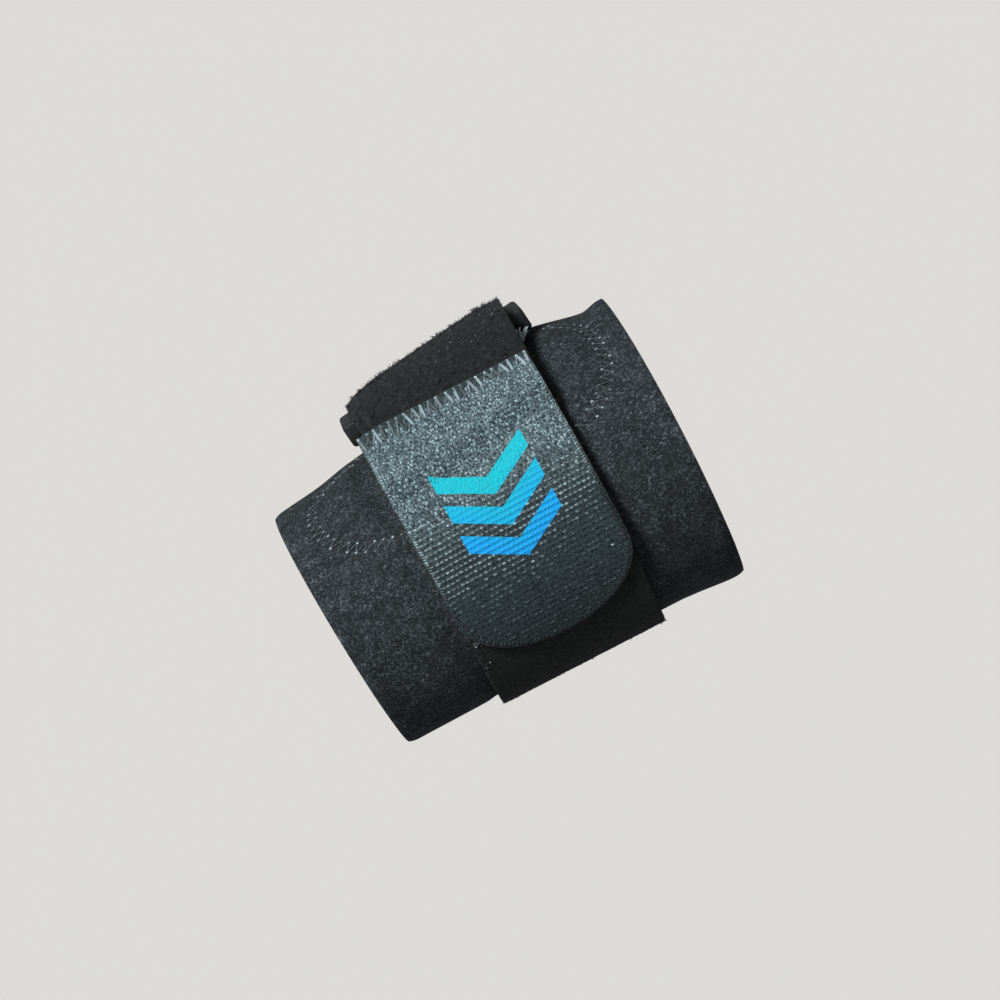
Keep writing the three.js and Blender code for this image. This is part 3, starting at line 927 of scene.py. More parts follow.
def closing_seam(thread, random):
    """Flat zigzag that closes the sleeve at its back."""
    x = np.arange(-WRIST_REACH + 2 * MM, ELBOW_REACH - 6 * MM, CLOSING_SEAM_STEP)
    swing = math.degrees(CLOSING_SEAM_WIDTH / 2 / ARM_RADIUS)
    angle = CLOSING_ANGLE + swing * np.where(np.arange(len(x)) % 2 == 0, 1, -1)
    points = place(x, angle, sleeve_face(angle, x) + 0.3 * SEAM_THREAD)
    seen = ~(under_strap(angle, x)[:-1] | under_strap(angle, x)[1:])
    up = outward((angle[:-1] + angle[1:]) / 2)
    tones = 0.2 + 0.5 * random.random(len(up))
    piece = sewn("sleeve_closing_seam", points[:-1][seen], points[1:][seen], up[seen], SEAM_THREAD, tones[seen])
    settle(piece, thread)


# Pressure pad

PAD_COLUMNS = 96
PAD_ROUNDS = 64
PAD_VOXEL = 1.6 * MM
PAD_PUFF = 0.7 * MM
PAD_SHRINK = 0.3 * MM


def pad_depth(t, share):
    crown = np.sqrt(np.maximum(0, 1 - np.abs(t) ** PAD_SQUARENESS)) * np.sqrt(np.maximum(0, 1 - share**2))
    return mix(PAD_RIM, PAD_THICKNESS, crown)


def pad():
    """Stuffed pad inside the sleeve: a closed form that cloth pressure swells towards the arm, then sewn flat at its rim."""

    def lay(u, v):
        turn = math.pi * u
        bend = 2 / PAD_SQUARENESS
        t = -np.sign(np.cos(turn)) * np.abs(np.cos(turn)) ** bend
        half = PAD_HALF_ANGLE * np.abs(np.sin(turn)) ** bend
        inner_side = v > 0.5
        share = np.where(inner_side, 3 - 4 * v, 4 * v - 1)
        share = np.sin(share * math.pi / 2)
        x = PAD_PLACE + t * PAD_LENGTH / 2
        angle = PAD_ANGLE + half * share
        lift = pad_lift(angle, x)
        outer = sleeve_radius(angle, x) - SLEEVE_WALL - GAP - (1 - PAD_FILL) * lift
        return place(x, angle, outer - np.where(inner_side, pad_depth(t, share) - PAD_SHRINK, 0))

    piece = laid_grid("pad_shell", PAD_COLUMNS, PAD_ROUNDS, lay)
    face_out(piece)
    swell(piece)
    smooth(piece)
    settle(piece, jersey_material("pad_jersey", (0.026, 0.028, 0.029), (0.08, 0.088, 0.092)), "pressure_pad")


def swell(piece):
    """Blows the pad up with cloth pressure, inwards only and no further than PAD_PUFF."""
    modify(piece, "REMESH", mode="VOXEL", voxel_size=PAD_VOXEL)
    start = corner_places(piece)
    cloth = piece.modifiers.new("swelling", "CLOTH")
    cloth.settings.use_pressure = True
    cloth.settings.uniform_pressure_force = 4
    cloth.settings.effector_weights.gravity = 0
    for step in range(1, 21):
        bpy.context.scene.frame_set(step)
    pick(piece)
    bpy.ops.object.modifier_apply(modifier=cloth.name)
    bpy.context.scene.frame_set(1)
    moved = corner_places(piece) - start
    reach = np.linalg.norm(moved, axis=1, keepdims=True)
    moved *= np.minimum(1, PAD_PUFF / np.maximum(reach, 1e-9))
    radial = start * np.array([0, 1, 1])
    radial /= np.linalg.norm(radial, axis=1, keepdims=True)
    out = np.maximum(0, np.einsum("ij,ij->i", moved, radial))
    set_corners(piece, start + moved - radial * out[:, None])
    modify(piece, "SUBSURF", levels=1, render_levels=1)


# Pull strap

STRAP_STEP = 0.5 * MM
STRAP_ROWS = 76
PILE_LUMPS = 0.3 * MM


def pile_lumps():
    lumps = bpy.data.textures.new("pile_lumps", "CLOUDS")
    lumps.noise_scale = 1.7 * MM
    lumps.noise_depth = 2
    return lumps


def strap():
    stations = strap_stations(STRAP_STEP)
    grid, _ = band_sheet(stations, np.linspace(-1, 1, 41))
    length = path_length(grid[:, 20])
    even = np.interp(np.linspace(0, 1, len(stations)), length / length[-1], np.linspace(0, 1, len(stations)))

    def lay(u, v):
        return sampled(grid, np.interp(u, np.linspace(0, 1, len(stations)), even), v)

    piece = laid_grid("pull_strap", round(length[-1] / STRAP_STEP), STRAP_ROWS, lay)
    modify(piece, "SOLIDIFY", thickness=STRAP_THICKNESS - PILE_LUMPS, offset=0, use_rim=True)
    modify(piece, "BEVEL", width=0.9 * MM, segments=3, limit_method="ANGLE", angle_limit=math.radians(60))
    modify(piece, "DISPLACE", texture=pile_lumps(), texture_coords="LOCAL", strength=PILE_LUMPS, mid_level=0.5)
    smooth(piece)
    settle(piece, pile_material(), "strap")
    return stations


FIBRE_COUNT = 8800
FIBRE_LENGTH = 0.95 * MM
FIBRE_THICKNESS = 0.085 * MM
TUFT_SIZE = 12


def fibre_bit():
    """One curled fibre of unit size that stands along Z and leans along Y."""
    bpy.ops.object.select_all(action="DESELECT")
    bpy.ops.mesh.primitive_cylinder_add(vertices=3, radius=0.5, depth=1, end_fill_type="NOTHING")
    bit = bpy.context.object
    for cut in (-0.17, 0.17):
        edit(bit, lambda: bpy.ops.mesh.bisect(plane_co=(0, 0, cut), plane_no=(0, 0, 1)))
    places = corner_places(bit)
    up = places[:, 2] + 0.5
    places[:, :2] *= (1 - 0.6 * up)[:, None]
    places[:, 2] = np.sin(up * 2.0) * 0.8
    places[:, 1] = places[:, 1] * 0.08 + (1 - np.cos(up * 2.0)) * 0.6
    places[:, 0] *= 0.08
    set_corners(bit, places)
    return bit


def strap_fuzz(stations, random):
    """Loose pile fibres, single and in tufts, on the faces and edges of the strap that show."""
    grid, normals = band_sheet(stations, np.linspace(-1, 1, 41))
    length = path_length(grid[:, 20])
    half_turn = math.pi * STRAP_FOLD["reach"] / 2
    fold = length[-1] - half_turn - math.radians(STRAP_END_ANGLE - RING_ANGLE) * (ARM_RADIUS + RING_HEIGHT)
    tufts = FIBRE_COUNT // (2 * TUFT_SIZE)
    clustered = np.arange(FIBRE_COUNT) < tufts * TUFT_SIZE

    def gathered(loose):
        """One value a fibre: its own, or that of its tuft."""
        return np.where(clustered, np.resize(np.repeat(loose[:tufts], TUFT_SIZE), FIBRE_COUNT), loose)

    near_fold = gathered(random.random(FIBRE_COUNT)) < 0.3
    anywhere = gathered(random.random(FIBRE_COUNT)) * length[-1]
    on_fold = fold + (gathered(random.random(FIBRE_COUNT)) - 0.3) * 14 * MM
    spot = np.clip(np.where(near_fold, on_fold, anywhere) + random.normal(0, 0.16 * MM, FIBRE_COUNT), 0, length[-1])
    hidden_from = fold - math.radians(TAB_ANGLE + 70) * ARM_RADIUS
    hidden = (spot > hidden_from) & (spot < fold - 5 * MM)
    edge = gathered(random.random(FIBRE_COUNT)) < np.where(hidden, 0.9, 0.16)
    side = gathered(random.random(FIBRE_COUNT)) * 2 - 1
    side = np.where(edge, np.sign(side) * 0.99, side + random.normal(0, 0.006, FIBRE_COUNT))
    side = np.clip(side, -0.995, 0.995)
    u = np.interp(spot, length, np.linspace(0, 1, len(length)))
    points = sampled(grid, u, (side + 1) / 2)
    up = sampled(normals, u, (side + 1) / 2)
    outer = sampled(grid, np.zeros(1), np.full(1, 0.5))
    up *= np.sign(np.sum(sampled(normals, np.zeros(1), np.full(1, 0.5)) * outer * np.array([0, 1, 1])))
    up *= np.where(spot < fold, 1, -1)[:, None]
    height = np.where(edge, STRAP_THICKNESS * (0.45 - 0.8 * random.random(FIBRE_COUNT)), STRAP_THICKNESS / 2 - 0.3 * MM)
    origins = points + up * height[:, None]
    sidewise = np.sign(side)[:, None] * np.array([1.0, 0, 0])
    stand = np.where(edge[:, None], 0.3 * up + sidewise, up)
    turn = gathered(random.random(FIBRE_COUNT)) * 2 * math.pi + random.normal(0, 0.5, FIBRE_COUNT)
    across = crossed(stand, np.array([[1.0, 0.02, 0.01]]) + 0 * stand)
    lean = across * np.cos(turn)[:, None] + crossed(across, stand) * np.sin(turn)[:, None]
    stand = stand + lean * (random.random(FIBRE_COUNT) * 0.7)[:, None]
    stand /= np.linalg.norm(stand, axis=1, keepdims=True)
    size = FIBRE_LENGTH * (0.45 + 0.9 * random.random(FIBRE_COUNT) ** 2 + 0.15 * clustered)
    size *= np.where(spot < fold, 0.65, 1)
    width = crossed(lean, stand)
    bit = fibre_bit()
    shade = random.random(FIBRE_COUNT) ** 2.5
    piece = copies(
        "strap_fuzz", bit, origins, width * (FIBRE_THICKNESS / 0.08), lean * size[:, None], stand * size[:, None], shade
    )
    remove(bit)
    settle(piece, fibre_material())
    return piece


FRAY_COUNT = 22
FRAY_ANGLE = 23.4
FRAY_RADIUS = 46.4 * MM
LINT_COUNT = 14
FOLD_LINT_COUNT = 34


def frayed_ends(random):
    """Light threads frayed from the strap's edge at the ring's end, and lint on the strap: below the tab and above it."""
    angle = FRAY_ANGLE + 2.4 * random.random(FRAY_COUNT)
    radius = FRAY_RADIUS + 1.6 * MM * (random.random(FRAY_COUNT) - 0.5)
    x = strap_centre(angle) + STRAP_WIDTH / 2 + (3.6 * random.random(FRAY_COUNT) - 0.4) * MM
    root_angle = angle + 2.0
    root_x = strap_centre(root_angle) + STRAP_WIDTH / 2 - 0.8 * MM * random.random(FRAY_COUNT)
    root = leg(root_x, root_angle, 1, STRAP_FOLD, UNDER_TURN, STRAP_LEAVE_ANGLE, STRAP_ON_SLEEVE)[1]
    lint_angle = np.concatenate([113 + 22 * random.random(LINT_COUNT), 19 + 12 * random.random(FOLD_LINT_COUNT) ** 1.5])
    near_tab = np.arange(len(lint_angle)) < LINT_COUNT
    share = random.random(len(lint_angle))
    off_edge = np.where(near_tab, 0.8 * MM + 6 * MM * share**2, STRAP_WIDTH * (1 - 0.5 * share))
    lint_x = strap_centre(lint_angle) - STRAP_WIDTH / 2 + off_edge
    on_sleeve = sleeve_radius(lint_angle, lint_x) + STRAP_ON_SLEEVE
    on_return = strap_return(lint_x, lint_angle)[1]
    lint = place(lint_x, lint_angle, np.where(near_tab, on_sleeve, on_return) + STRAP_THICKNESS / 2)
    lint_way = 0.6 * MM * (random.random((len(lint), 3)) - 0.5)
    piece = sewn(
        "strap_frayed_ends",
        np.concatenate([place(root_x, root_angle, root), lint - lint_way]),
        np.concatenate([place(x, angle, radius), lint + lint_way]),
        np.concatenate([outward(angle), outward(lint_angle)]),
        0.5 * MM,
        np.concatenate([0.3 + 0.5 * random.random(FRAY_COUNT), np.where(near_tab, 0.35, 0.1) * random.random(len(lint))]),
    )
    settle(piece, thread_material("loose_thread_ends", (0.03, 0.038, 0.041), (0.45, 0.52, 0.53)))


# Closing tab

RIB_PITCH = 1.48 * MM
RIB_HEIGHT = 0.22 * MM
FLOAT_PITCH = 1.3 * MM
FLOAT_HEIGHT = 0.34 * MM
LOOSE_PITCH = 1.02 * MM
LOOSE_ROW_PITCH = 1.05 * MM
LOOSE_START = 1.9 * MM
# Where the tab's rows thin out from wear and are painted darker as shade, over what run, and how much sooner on the
# elbow side
WEAR_AND_SHADE_START = 41 * MM
WEAR_AND_SHADE_RUN = 15 * MM
WEAR_AND_SHADE_SLANT = 0.35
TAB_ROWS = 56


def looseness(length):
    """1 where the tab's weave is loose, 0 where it lies in tight rows."""
    return 1 - ease((length - WEAVE_CHANGE + WEAVE_CHANGE_RUN) / WEAVE_CHANGE_RUN)


def tab_ground():
    columns = round(TAB_LENGTH / RIB_PITCH * 6)

    def shape(u, v):
        length = TAB_LENGTH * u
        side = (2 * v - 1) * np.maximum(tab_half_width(length), 0.4 * MM)
        wear_and_shade = ease((length - WEAR_AND_SHADE_START) / WEAR_AND_SHADE_RUN)
        rib = RIB_HEIGHT * (np.abs(np.sin(math.pi * length / RIB_PITCH)) - 1) * (1 - looseness(length) - 0.6 * wear_and_shade)
        return length, side, rib

    def lay(u, v):
        length, side, rib = shape(u, v)
        return tab_surface(length, side, TAB_THICKNESS / 2 - FLOAT_HEIGHT * 0.5 + rib)

    piece = laid_grid("tab_ground", columns, TAB_ROWS, lay)
    flat = np.array([[c, r] for r in np.linspace(0, 1, TAB_ROWS + 1) for c in np.linspace(0, 1, columns + 1)])
    length, side, _ = shape(flat[:, 0], flat[:, 1])
    tone(piece, side, "aside")
    tone(piece, length, "down")
    modify(piece, "SOLIDIFY", thickness=TAB_THICKNESS * 0.72, offset=-1, use_rim=True)
    modify(piece, "BEVEL", width=0.45 * MM, segments=2, limit_method="ANGLE", angle_limit=math.radians(60))
    smooth(piece)
    return settle(piece, tab_ground_material(), "tab")


def float_bit():
    """One yarn float of unit size: an arched lens, open underneath."""
    bpy.ops.object.select_all(action="DESELECT")
    bpy.ops.mesh.primitive_grid_add(x_subdivisions=4, y_subdivisions=5, size=1)
    bit = bpy.context.object
    places = corner_places(bit)
    x = 2 * places[:, 0]
    y = 2 * places[:, 1]
    places[:, 0] *= 1 - 0.35 * y * y
    places[:, 2] = (1 - x**4) * (1 - 0.75 * y * y) - 0.35 * y * y
    set_corners(bit, places)
    return bit


def tab_frames(length, side, height):
    """Points over the tab with unit vectors across it, along it and up from it."""
    step = 0.2 * MM
    points = tab_surface(length, side, height)
    along = tab_surface(length + step, side, height) - points
    along[:, 0] = 0
    along /= np.linalg.norm(along, axis=1, keepdims=True)
    aside = tab_surface(length, side + step, height) - points
    aside /= np.linalg.norm(aside, axis=1, keepdims=True)
    up = crossed(aside, along)
    up *= np.sign(np.einsum("ij,ij->i", up, points * np.array([0, 1, 1])))[:, None]
    return points, aside, along, up


def float_grid(start, stop, row_pitch, pitch):
    """Lengths and sides of floats in rows down the tab, every second row set over by half a pitch."""
    lengths = []
    sides = []
    for k, length in enumerate(np.arange(start, stop, row_pitch)):
        reach = float(tab_half_width(length)) - 0.9 * MM
        row = np.arange(-reach + (k % 2) * pitch / 2, reach, pitch)
        lengths.append(np.full(len(row), length))
        sides.append(row)
    return np.concatenate(lengths), np.concatenate(sides)


def tab_floats(random):
    """Light yarn floats of the tab: loose slanting flecks above, then tight rows that thin out towards the end, where
    their tone is also darkened as painted shade.
    """
    first_row = (math.ceil((WEAVE_CHANGE - WEAVE_CHANGE_RUN) / RIB_PITCH) + 0.5) * RIB_PITCH
    loose_length, loose_side = float_grid(LOOSE_START, WEAVE_CHANGE - WEAVE_CHANGE_RUN / 3, LOOSE_ROW_PITCH, LOOSE_PITCH)
    row_length, row_side = float_grid(first_row, TAB_LENGTH - MM, RIB_PITCH, FLOAT_PITCH)
    length = np.concatenate([loose_length, row_length])
    side = np.concatenate([loose_side, row_side])
    loose = np.concatenate([np.ones(len(loose_length)), np.zeros(len(row_length))])
    changed = ease((length - first_row) / (WEAVE_CHANGE_RUN * 0.6))
    stays = random.random(len(length)) < np.where(loose > 0.5, 1 - changed, 0.25 + changed)
    length, side, loose = length[stays], side[stays], loose[stays]
    count = len(length)
    length = length + (random.random(count) - 0.5) * (0.12 + 0.5 * loose) * MM
    side = side + (random.random(count) - 0.5) * (0.3 + 0.3 * loose) * MM
    wear_and_shade = ease((length + WEAR_AND_SHADE_SLANT * np.maximum(0, side) - WEAR_AND_SHADE_START) / WEAR_AND_SHADE_RUN)
    kept = random.random(count) > 0.8 * wear_and_shade
    length, side, loose, wear_and_shade = length[kept], side[kept], loose[kept], wear_and_shade[kept]
    count = len(length)
    lean = random.choice([-1, 1], count) * (0.1 + 0.5 * random.random(count))
    slant = mix((random.random(count) - 0.5) * 0.2, lean, loose)
    wide = mix(1.15 + 0.4 * random.random(count), 0.6 + 0.3 * random.random(count), loose) * MM
    long = mix(0.72 + 0.16 * random.random(count), 1.0 + 0.45 * random.random(count), loose) * MM
    high = FLOAT_HEIGHT * mix(0.7 + 0.3 * random.random(count), 0.6 + 0.6 * random.random(count), loose)
    shade = mix(0.2 + 0.6 * random.random(count), random.random(count), loose)
    # Painted shade: the floats' tone darkens towards the tab's lower end, where the rows also thin out
    shade *= 1 - 0.85 * wear_and_shade
    shade = np.where(random.random(count) < 0.04, 1.0, shade)
    points, aside, along, up = tab_frames(length, side, TAB_THICKNESS / 2 - 0.9 * FLOAT_HEIGHT)
    c = np.cos(slant)[:, None]
    s = np.sin(slant)[:, None]
    bit = float_bit()
    piece = copies(
        "tab_floats",
        bit,
        points,
        (aside * c - along * s) * wide[:, None],
        (along * c + aside * s) * long[:, None],
        up * high[:, None],
        shade,
        (
            np.stack([side, length], axis=1),
            np.concatenate([c, -s], axis=1) * wide[:, None],
            np.concatenate([s, c], axis=1) * long[:, None],
        ),
    )
    remove(bit)
    settle(piece, thread_material("tab_float_yarn", (0.03, 0.042, 0.047), (0.168, 0.21, 0.222), 0.7, True))
    return piece


# Ring

RING_ROUND = 1.0 * MM
RING_CORNER = 1.1 * MM
RING_END_DEPTH = 2.4 * MM


def ring_place(points):
    """Turns points modelled flat round the origin into the ring's seat on the sleeve."""
    slope = math.radians(RING_SLOPE)
    up = outward(RING_ANGLE)
    along = math.cos(slope) * np.array([1.0, 0, 0]) + math.sin(slope) * up
    rearward = -onward(RING_ANGLE)
    normal = np.cross(along, rearward)
    middle = place(RING_PLACE, RING_ANGLE, RING_RADIUS)
    return middle + points @ np.array([along, rearward, normal])


def ring():
    """Rectangular ring: a plate with a slot, softened all round, with ends that reach deeper towards the arm."""
    length = RING_SLOT_LENGTH + 2 * RING_SIDE_BAR
    width = RING_SLOT_WIDTH + 2 * RING_BAR
    bpy.ops.object.select_all(action="DESELECT")
    bpy.ops.mesh.primitive_plane_add(size=1)
    piece = bpy.context.object
    piece.name = piece.data.name = "ring_frame"
    set_corners(piece, corner_places(piece) * np.array([length, width, 1]) - np.array([0, 0, RING_THICKNESS / 2]))
    for cut in (-RING_SLOT_LENGTH / 2, RING_SLOT_LENGTH / 2):
        edit(piece, lambda: bpy.ops.mesh.bisect(plane_co=(cut, 0, 0), plane_no=(1, 0, 0)))
    for cut in (-RING_SLOT_WIDTH / 2, RING_SLOT_WIDTH / 2):
        edit(piece, lambda: bpy.ops.mesh.bisect(plane_co=(0, cut, 0), plane_no=(0, 1, 0)))
    edit(piece, lambda: bpy.ops.mesh.select_all(action="DESELECT"))
    for face in piece.data.polygons:
        face.select = abs(face.center.x) < MM and abs(face.center.y) < MM
    pick(piece)
    bpy.ops.object.mode_set(mode="EDIT")
    bpy.ops.mesh.select_mode(type="FACE")
    bpy.ops.mesh.delete(type="FACE")
    bpy.ops.mesh.select_all(action="SELECT")
    bpy.ops.mesh.extrude_region_move(TRANSFORM_OT_translate={"value": (0, 0, RING_THICKNESS)})
    bpy.ops.mesh.select_all(action="SELECT")
    bpy.ops.mesh.normals_make_consistent(inside=False)
    bpy.ops.mesh.select_mode(type="EDGE")
    bpy.ops.mesh.select_all(action="DESELECT")
    bpy.ops.object.mode_set(mode="OBJECT")
    places = corner_places(piece)
    for edge in piece.data.edges:
        a, b = (places[i] for i in edge.vertices)
        upright = abs(a[2] - b[2]) > MM
        edge.select = bool(upright and abs(abs(a[0]) - length / 2) < 0.1 * MM and abs(abs(a[1]) - width / 2) < 0.1 * MM)
    bpy.ops.object.mode_set(mode="EDIT")
    bpy.ops.mesh.bevel(offset=RING_CORNER, segments=8, affect="EDGES")
    bpy.ops.object.mode_set(mode="OBJECT")
    modify(piece, "BEVEL", width=RING_ROUND, segments=6, limit_method="ANGLE", angle_limit=math.radians(60))
    smooth(piece)
    places = corner_places(piece)
    end = ease((np.abs(places[:, 0]) - RING_SLOT_LENGTH / 2) / RING_ROUND)
    places[:, 2] -= np.where(places[:, 2] < 0, RING_END_DEPTH * end, 0)
    set_corners(piece, ring_place(places))
    settle(piece, ring_material(), "ring")


# Loop that ties the ring down

LOOP_STEP = 0.55 * MM
LOOP_ROWS = 84
WEBBING_RIB = 0.09 * MM
WEBBING_PITCH = 1.65 * MM


def lane(stations, share):
    """A station's share turned into one that goes evenly by length."""
    grid, _ = band_sheet(stations, np.array([0.0]))
    length = path_length(grid[:, 0])
    return np.interp(share, length / length[-1], np.linspace(0, 1, len(stations))), length[-1]


def ring_loop():
    stations = loop_stations(LOOP_STEP)
    grid, normals = band_sheet(stations, np.linspace(-1, 1, 41))
    total = lane(stations, 0.5)[1]

    def lay(u, v):
        spot = lane(stations, u)[0]
        ribs = WEBBING_RIB * np.sin(2 * math.pi * u * total / WEBBING_PITCH)
        return sampled(grid, spot, v) + sampled(normals, spot, v) * ribs[:, None]

    piece = laid_grid("loop_webbing", round(total / LOOP_STEP), LOOP_ROWS, lay)
    modify(piece, "SOLIDIFY", thickness=LOOP_THICKNESS - 2 * WEBBING_RIB, offset=0, use_rim=True)
    modify(piece, "BEVEL", width=0.5 * MM, segments=3, limit_method="ANGLE", angle_limit=math.radians(60))
    smooth(piece)
    settle(piece, webbing_material(), "ring_loop")


def loop_surface(angle, x, lift):
    height = LOOP_ON_LOOP + LOOP_THICKNESS / 2
    near = leg(x, angle, -1, LOOP_FOLD, OVER_TURN, LOOP_UPPER_LIE, height)[1]
    return place(x, angle, near + lift)


def run_of_stitches(a, b, step):
    """Places of running stitches from corner a to corner b, each an angle and an x."""
    a = np.array(a, float)
    b = np.array(b, float)
    long = math.hypot(math.radians(b[0] - a[0]) * ARM_RADIUS, b[1] - a[1])
    count = max(1, round(long / step))
    starts = np.linspace(a, b, count, endpoint=False)
    return starts, starts + (b - a) / count * 0.72


def loop_box_stitch(thread, random):
    """Two sewn boxes with crosses that hold the loop's legs to the sleeve."""
    low = LOOP_END_ANGLE + 2.5
    high = LOOP_UPPER_LIE - 1.5
    starts = []
    ends = []
    reach = LOOP_WIDTH / 2 - 2.5 * MM
    for left, right in ((-reach, -2 * MM), (2 * MM, reach)):
        corners = [
            (low, RING_PLACE + left),
            (high, RING_PLACE + left),
            (high, RING_PLACE + right),
            (low, RING_PLACE + right),
        ]
        lines = list(zip(corners, corners[1:] + corners[:1])) + [(corners[0], corners[2]), (corners[1], corners[3])]
        for a, b in lines:
            first, last = run_of_stitches(a, b, 1.9 * MM)
            starts.append(first)
            ends.append(last)
    starts = np.concatenate(starts)
    ends = np.concatenate(ends)
    lift = 0.05 * MM
    a = loop_surface(starts[:, 0], starts[:, 1], lift)
    b = loop_surface(ends[:, 0], ends[:, 1], lift)
    tones = 0.2 + 0.6 * random.random(len(a))
    piece = sewn("loop_box_stitch", a, b, outward(starts[:, 0]), SEAM_THREAD, tones)
    settle(piece, thread)


ROOT_SEAM_REACH = 7.0


def strap_root_seam(thread, random):
    """Rows of stitches that sew the strap's first end to the sleeve."""
    starts = []
    ends = []
    for angle in (STRAP_ROOT_ANGLE - 1.5, STRAP_ROOT_ANGLE - ROOT_SEAM_REACH):
        centre = strap_centre(angle)
        reach = STRAP_WIDTH / 2 - 1.5 * MM
        first, last = run_of_stitches((angle, centre - reach), (angle, centre + reach), 2.0 * MM)
        starts.append(first)
        ends.append(last)
    starts = np.concatenate(starts)
    ends = np.concatenate(ends)

    def on_strap(spots):
        radius = sleeve_radius(spots[:, 0], spots[:, 1]) + STRAP_ON_SLEEVE + STRAP_THICKNESS / 2
        return place(spots[:, 1], spots[:, 0], radius)

    tones = 0.2 + 0.6 * random.random(len(starts))
    piece = sewn("strap_root_seam", on_strap(starts), on_strap(ends), outward(starts[:, 0]), SEAM_THREAD, tones)
    settle(piece, thread)


# Sewing of the closing tab

TAB_SEAM_DEPTH = 4.4 * MM
TAB_SEAM_PITCH = 2.25 * MM
TAB_SEAM_THREAD = 0.95 * MM


def tab_seam(random):
    """Overlocked top edge of the tab: thick slanting bars, thinner threads that cross back, and knots on the edge."""
    reach = TAB_WIDTH / 2 - 0.7 * MM
    count = round(2 * reach / TAB_SEAM_PITCH) + 1
    tops = np.linspace(-reach, reach, count) + (random.random(count) - 0.5) * 0.7 * MM
    height = TAB_THICKNESS / 2 - 0.1 * MM
    high, _, _, up = tab_frames(0.1 * MM + 0.6 * MM * random.random(count), tops, height)
    depth = TAB_SEAM_DEPTH * (0.65 + 0.45 * random.random(count))
    swing = TAB_SEAM_PITCH * (0.75 * random.random(count) - 0.15)
    low = tab_frames(depth, np.minimum(tops + swing, reach), height)[0]
    bars = sewn("tab_seam_strokes", high, low, up, TAB_SEAM_THREAD, 0.75 * random.random(count), 0.5)
    yarn = thread_material("tab_seam_yarn", (0.03, 0.041, 0.046), (0.205, 0.252, 0.268))
    settle(bars, yarn)
    back = tab_frames(depth * 0.8, np.maximum(tops - 0.5 * TAB_SEAM_PITCH, -reach), height)[0]
    crossing = sewn("tab_seam_crossings", high, back, up, 0.6 * TAB_SEAM_THREAD, 0.5 * random.random(count), 0.6)
    settle(crossing, yarn)
    over, _, _, _ = tab_frames(np.full(count, -0.3 * MM), tops, height - TAB_THICKNESS * 0.6)
    crest, _, _, _ = tab_frames(np.full(count, 0.7 * MM), tops, height + 0.1 * MM)
    loops = sewn("tab_seam_loops", over, crest, up, TAB_SEAM_THREAD, 0.2 + 0.8 * random.random(count), 0.8)
    settle(loops, yarn)


def tab_selvedge(random):
    """Weft loops that turn round the tab's two straight sides, and the bound round end."""
    rows = np.arange(4 * MM, TAB_STRAIGHT, RIB_PITCH / 2)
    starts = []
    ends = []
    ups = []
    tones = []
    # Painted shade: the side stitches darken from these lengths on towards the tab's lower end, sooner on the elbow
    # side
    for side, shaded_from in ((-1, 36 * MM), (1, 27 * MM)):
        edge = side * (TAB_WIDTH / 2 - 0.25 * MM) * np.ones(len(rows))
        a, _, _, up = tab_frames(rows, edge, TAB_THICKNESS / 2 - 0.55 * MM)
        b, _, _, _ = tab_frames(rows + 0.35 * MM, edge - side * 0.95 * MM, TAB_THICKNESS / 2 - 0.12 * MM)
        starts.append(a)
        ends.append(b)
        ups.append(up)
        tones.append((0.3 + 0.6 * random.random(len(rows))) * (1 - 0.95 * ease((rows - shaded_from) / (16 * MM))))
    turn = np.radians(np.linspace(2, 178, 60))
    rim = TAB_WIDTH / 2 - 0.25 * MM
    inner = rim - 1.3 * MM
    drop = TAB_END - 0.25 * MM
    inner_drop = drop - 1.3 * MM
    bent = turn + 0.012 * np.where(np.arange(len(turn)) % 2 == 0, 1, -1)
    height = TAB_THICKNESS / 2
    a, _, _, up = tab_frames(TAB_STRAIGHT + drop * np.sin(turn), rim * np.cos(turn), height - 0.6 * MM)
    b, _, _, _ = tab_frames(TAB_STRAIGHT + inner_drop * np.sin(bent), inner * np.cos(bent), height - 0.1 * MM)
    starts = np.concatenate([*starts, a])
    ends = np.concatenate([*ends, b])
    ups = np.concatenate([*ups, up])
    tones = np.concatenate([*tones, 0.1 * random.random(len(a))])
    piece = sewn("tab_selvedge", starts, ends, ups, 0.55 * MM, tones)
    edge_yarn = thread_material("tab_edge_yarn", (0.011, 0.014, 0.0155), (0.2, 0.25, 0.27))
    settle(piece, edge_yarn)


# Studio

VIEW_DISTANCE = 850 * MM
VIEW_WIDTH = 263 * MM
VIEW_ROLL = 31.1
VIEW_ALONG = -0.45 * MM
VIEW_ABOVE = 7.3 * MM
FLOOR_DEPTH = 0.5


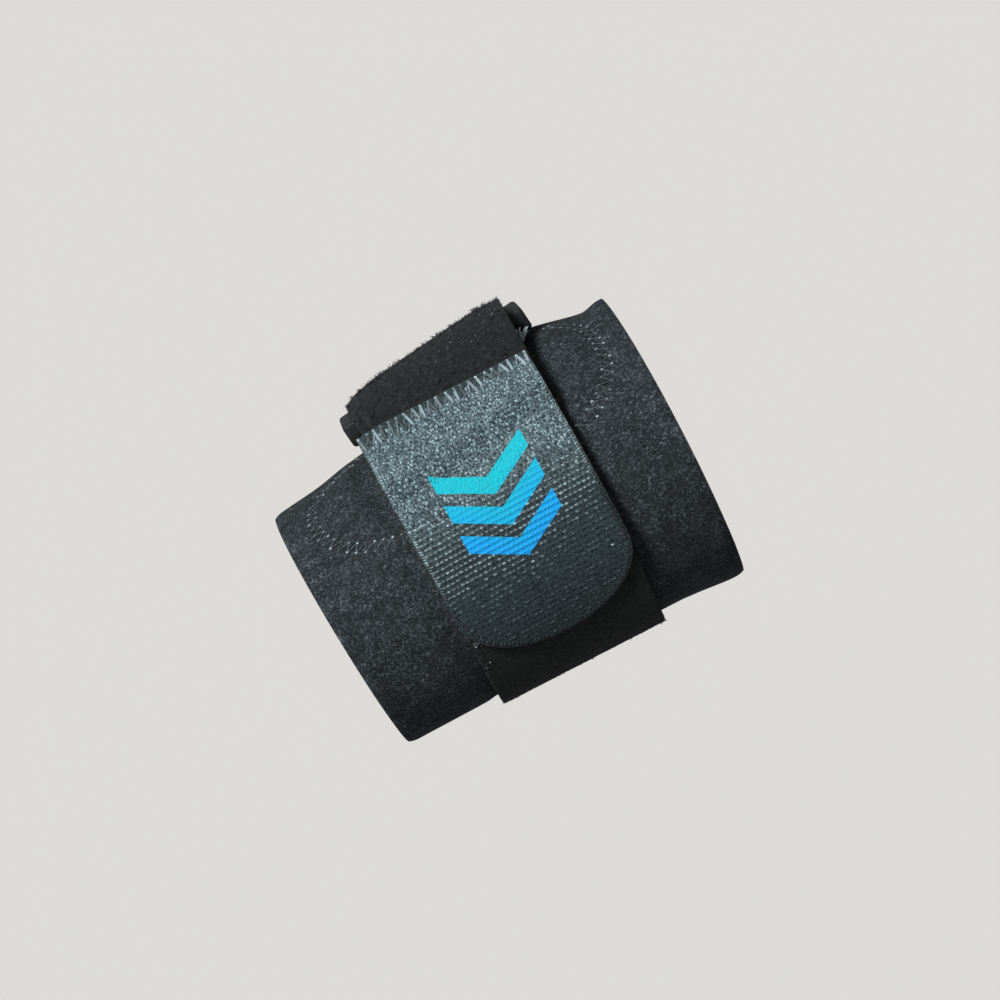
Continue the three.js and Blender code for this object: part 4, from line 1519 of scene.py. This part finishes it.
def camera():
    """Looks square at the arm from the tab's side, with the wrist low on the left as in the photograph."""
    back = outward(90.0)
    up = outward(0.0)
    arm = np.array([1.0, 0.0, 0.0])
    c = math.cos(math.radians(VIEW_ROLL))
    s = math.sin(math.radians(VIEW_ROLL))
    right = c * arm - s * up
    top = s * arm + c * up
    lens = bpy.data.cameras.new("photo_camera")
    lens.sensor_width = 36
    lens.lens = 36 * VIEW_DISTANCE / VIEW_WIDTH
    holder = bpy.data.objects.new("photo_camera", lens)
    bpy.context.scene.collection.objects.link(holder)
    target = arm * VIEW_ALONG + up * VIEW_ABOVE
    turned = Matrix(np.array([right, top, back]).T.tolist()).to_4x4()
    holder.matrix_world = Matrix.Translation(Vector(target + back * VIEW_DISTANCE)) @ turned
    bpy.context.scene.camera = holder


def sun(name, direction, strength, softness):
    lamp = bpy.data.lights.new(name, "SUN")
    lamp.energy = strength
    lamp.angle = math.radians(softness)
    holder = bpy.data.objects.new(name, lamp)
    bpy.context.scene.collection.objects.link(holder)
    way = Vector(direction).normalized()
    holder.location = way
    holder.rotation_mode = "QUATERNION"
    holder.rotation_quaternion = way.to_track_quat("Z", "Y")


PAPER = (0.862, 0.857, 0.84)


def studio():
    """Pale floor and world of one tone, a soft sun from above the tab, and a slightly steeper tone curve."""
    bpy.ops.object.select_all(action="DESELECT")
    bpy.ops.mesh.primitive_plane_add(size=60, location=(0, 0, -FLOOR_DEPTH))
    floor = bpy.context.object
    floor.name = "studio_floor"
    material, nodes, links, shader = new_material("pale_floor", Roughness=1.0, Specular_IOR_Level=0.0)
    shader.inputs["Base Color"].default_value = (*(0.29 * np.array(PAPER) / PAPER[0]), 1)
    paint(floor, material)
    world = bpy.data.worlds.new("studio_world")
    world.use_nodes = True
    world.node_tree.nodes["Background"].inputs["Color"].default_value = (*PAPER, 1)
    world.node_tree.nodes["Background"].inputs["Strength"].default_value = 0.92
    bpy.context.scene.world = world
    sun("key", (-0.32, -0.55, 0.77), 7.9, 16)
    scene = bpy.context.scene
    scene.view_settings.view_transform = "Standard"
    scene.view_settings.look = "None"
    scene.view_settings.gamma = 0.7


def tab(random):
    ground = tab_ground()
    tab_floats(random)
    tab_seam(random)
    tab_selvedge(random)


random = np.random.default_rng(7)
camera()
pad()
sleeve()
thread = pad_seam(random)
closing_seam(thread, random)
ring()
stations = strap()
strap_fuzz(stations, random)
strap_root_seam(thread, random)
ring_loop()
loop_box_stitch(thread, random)
tab(random)
frayed_ends(random)
studio()
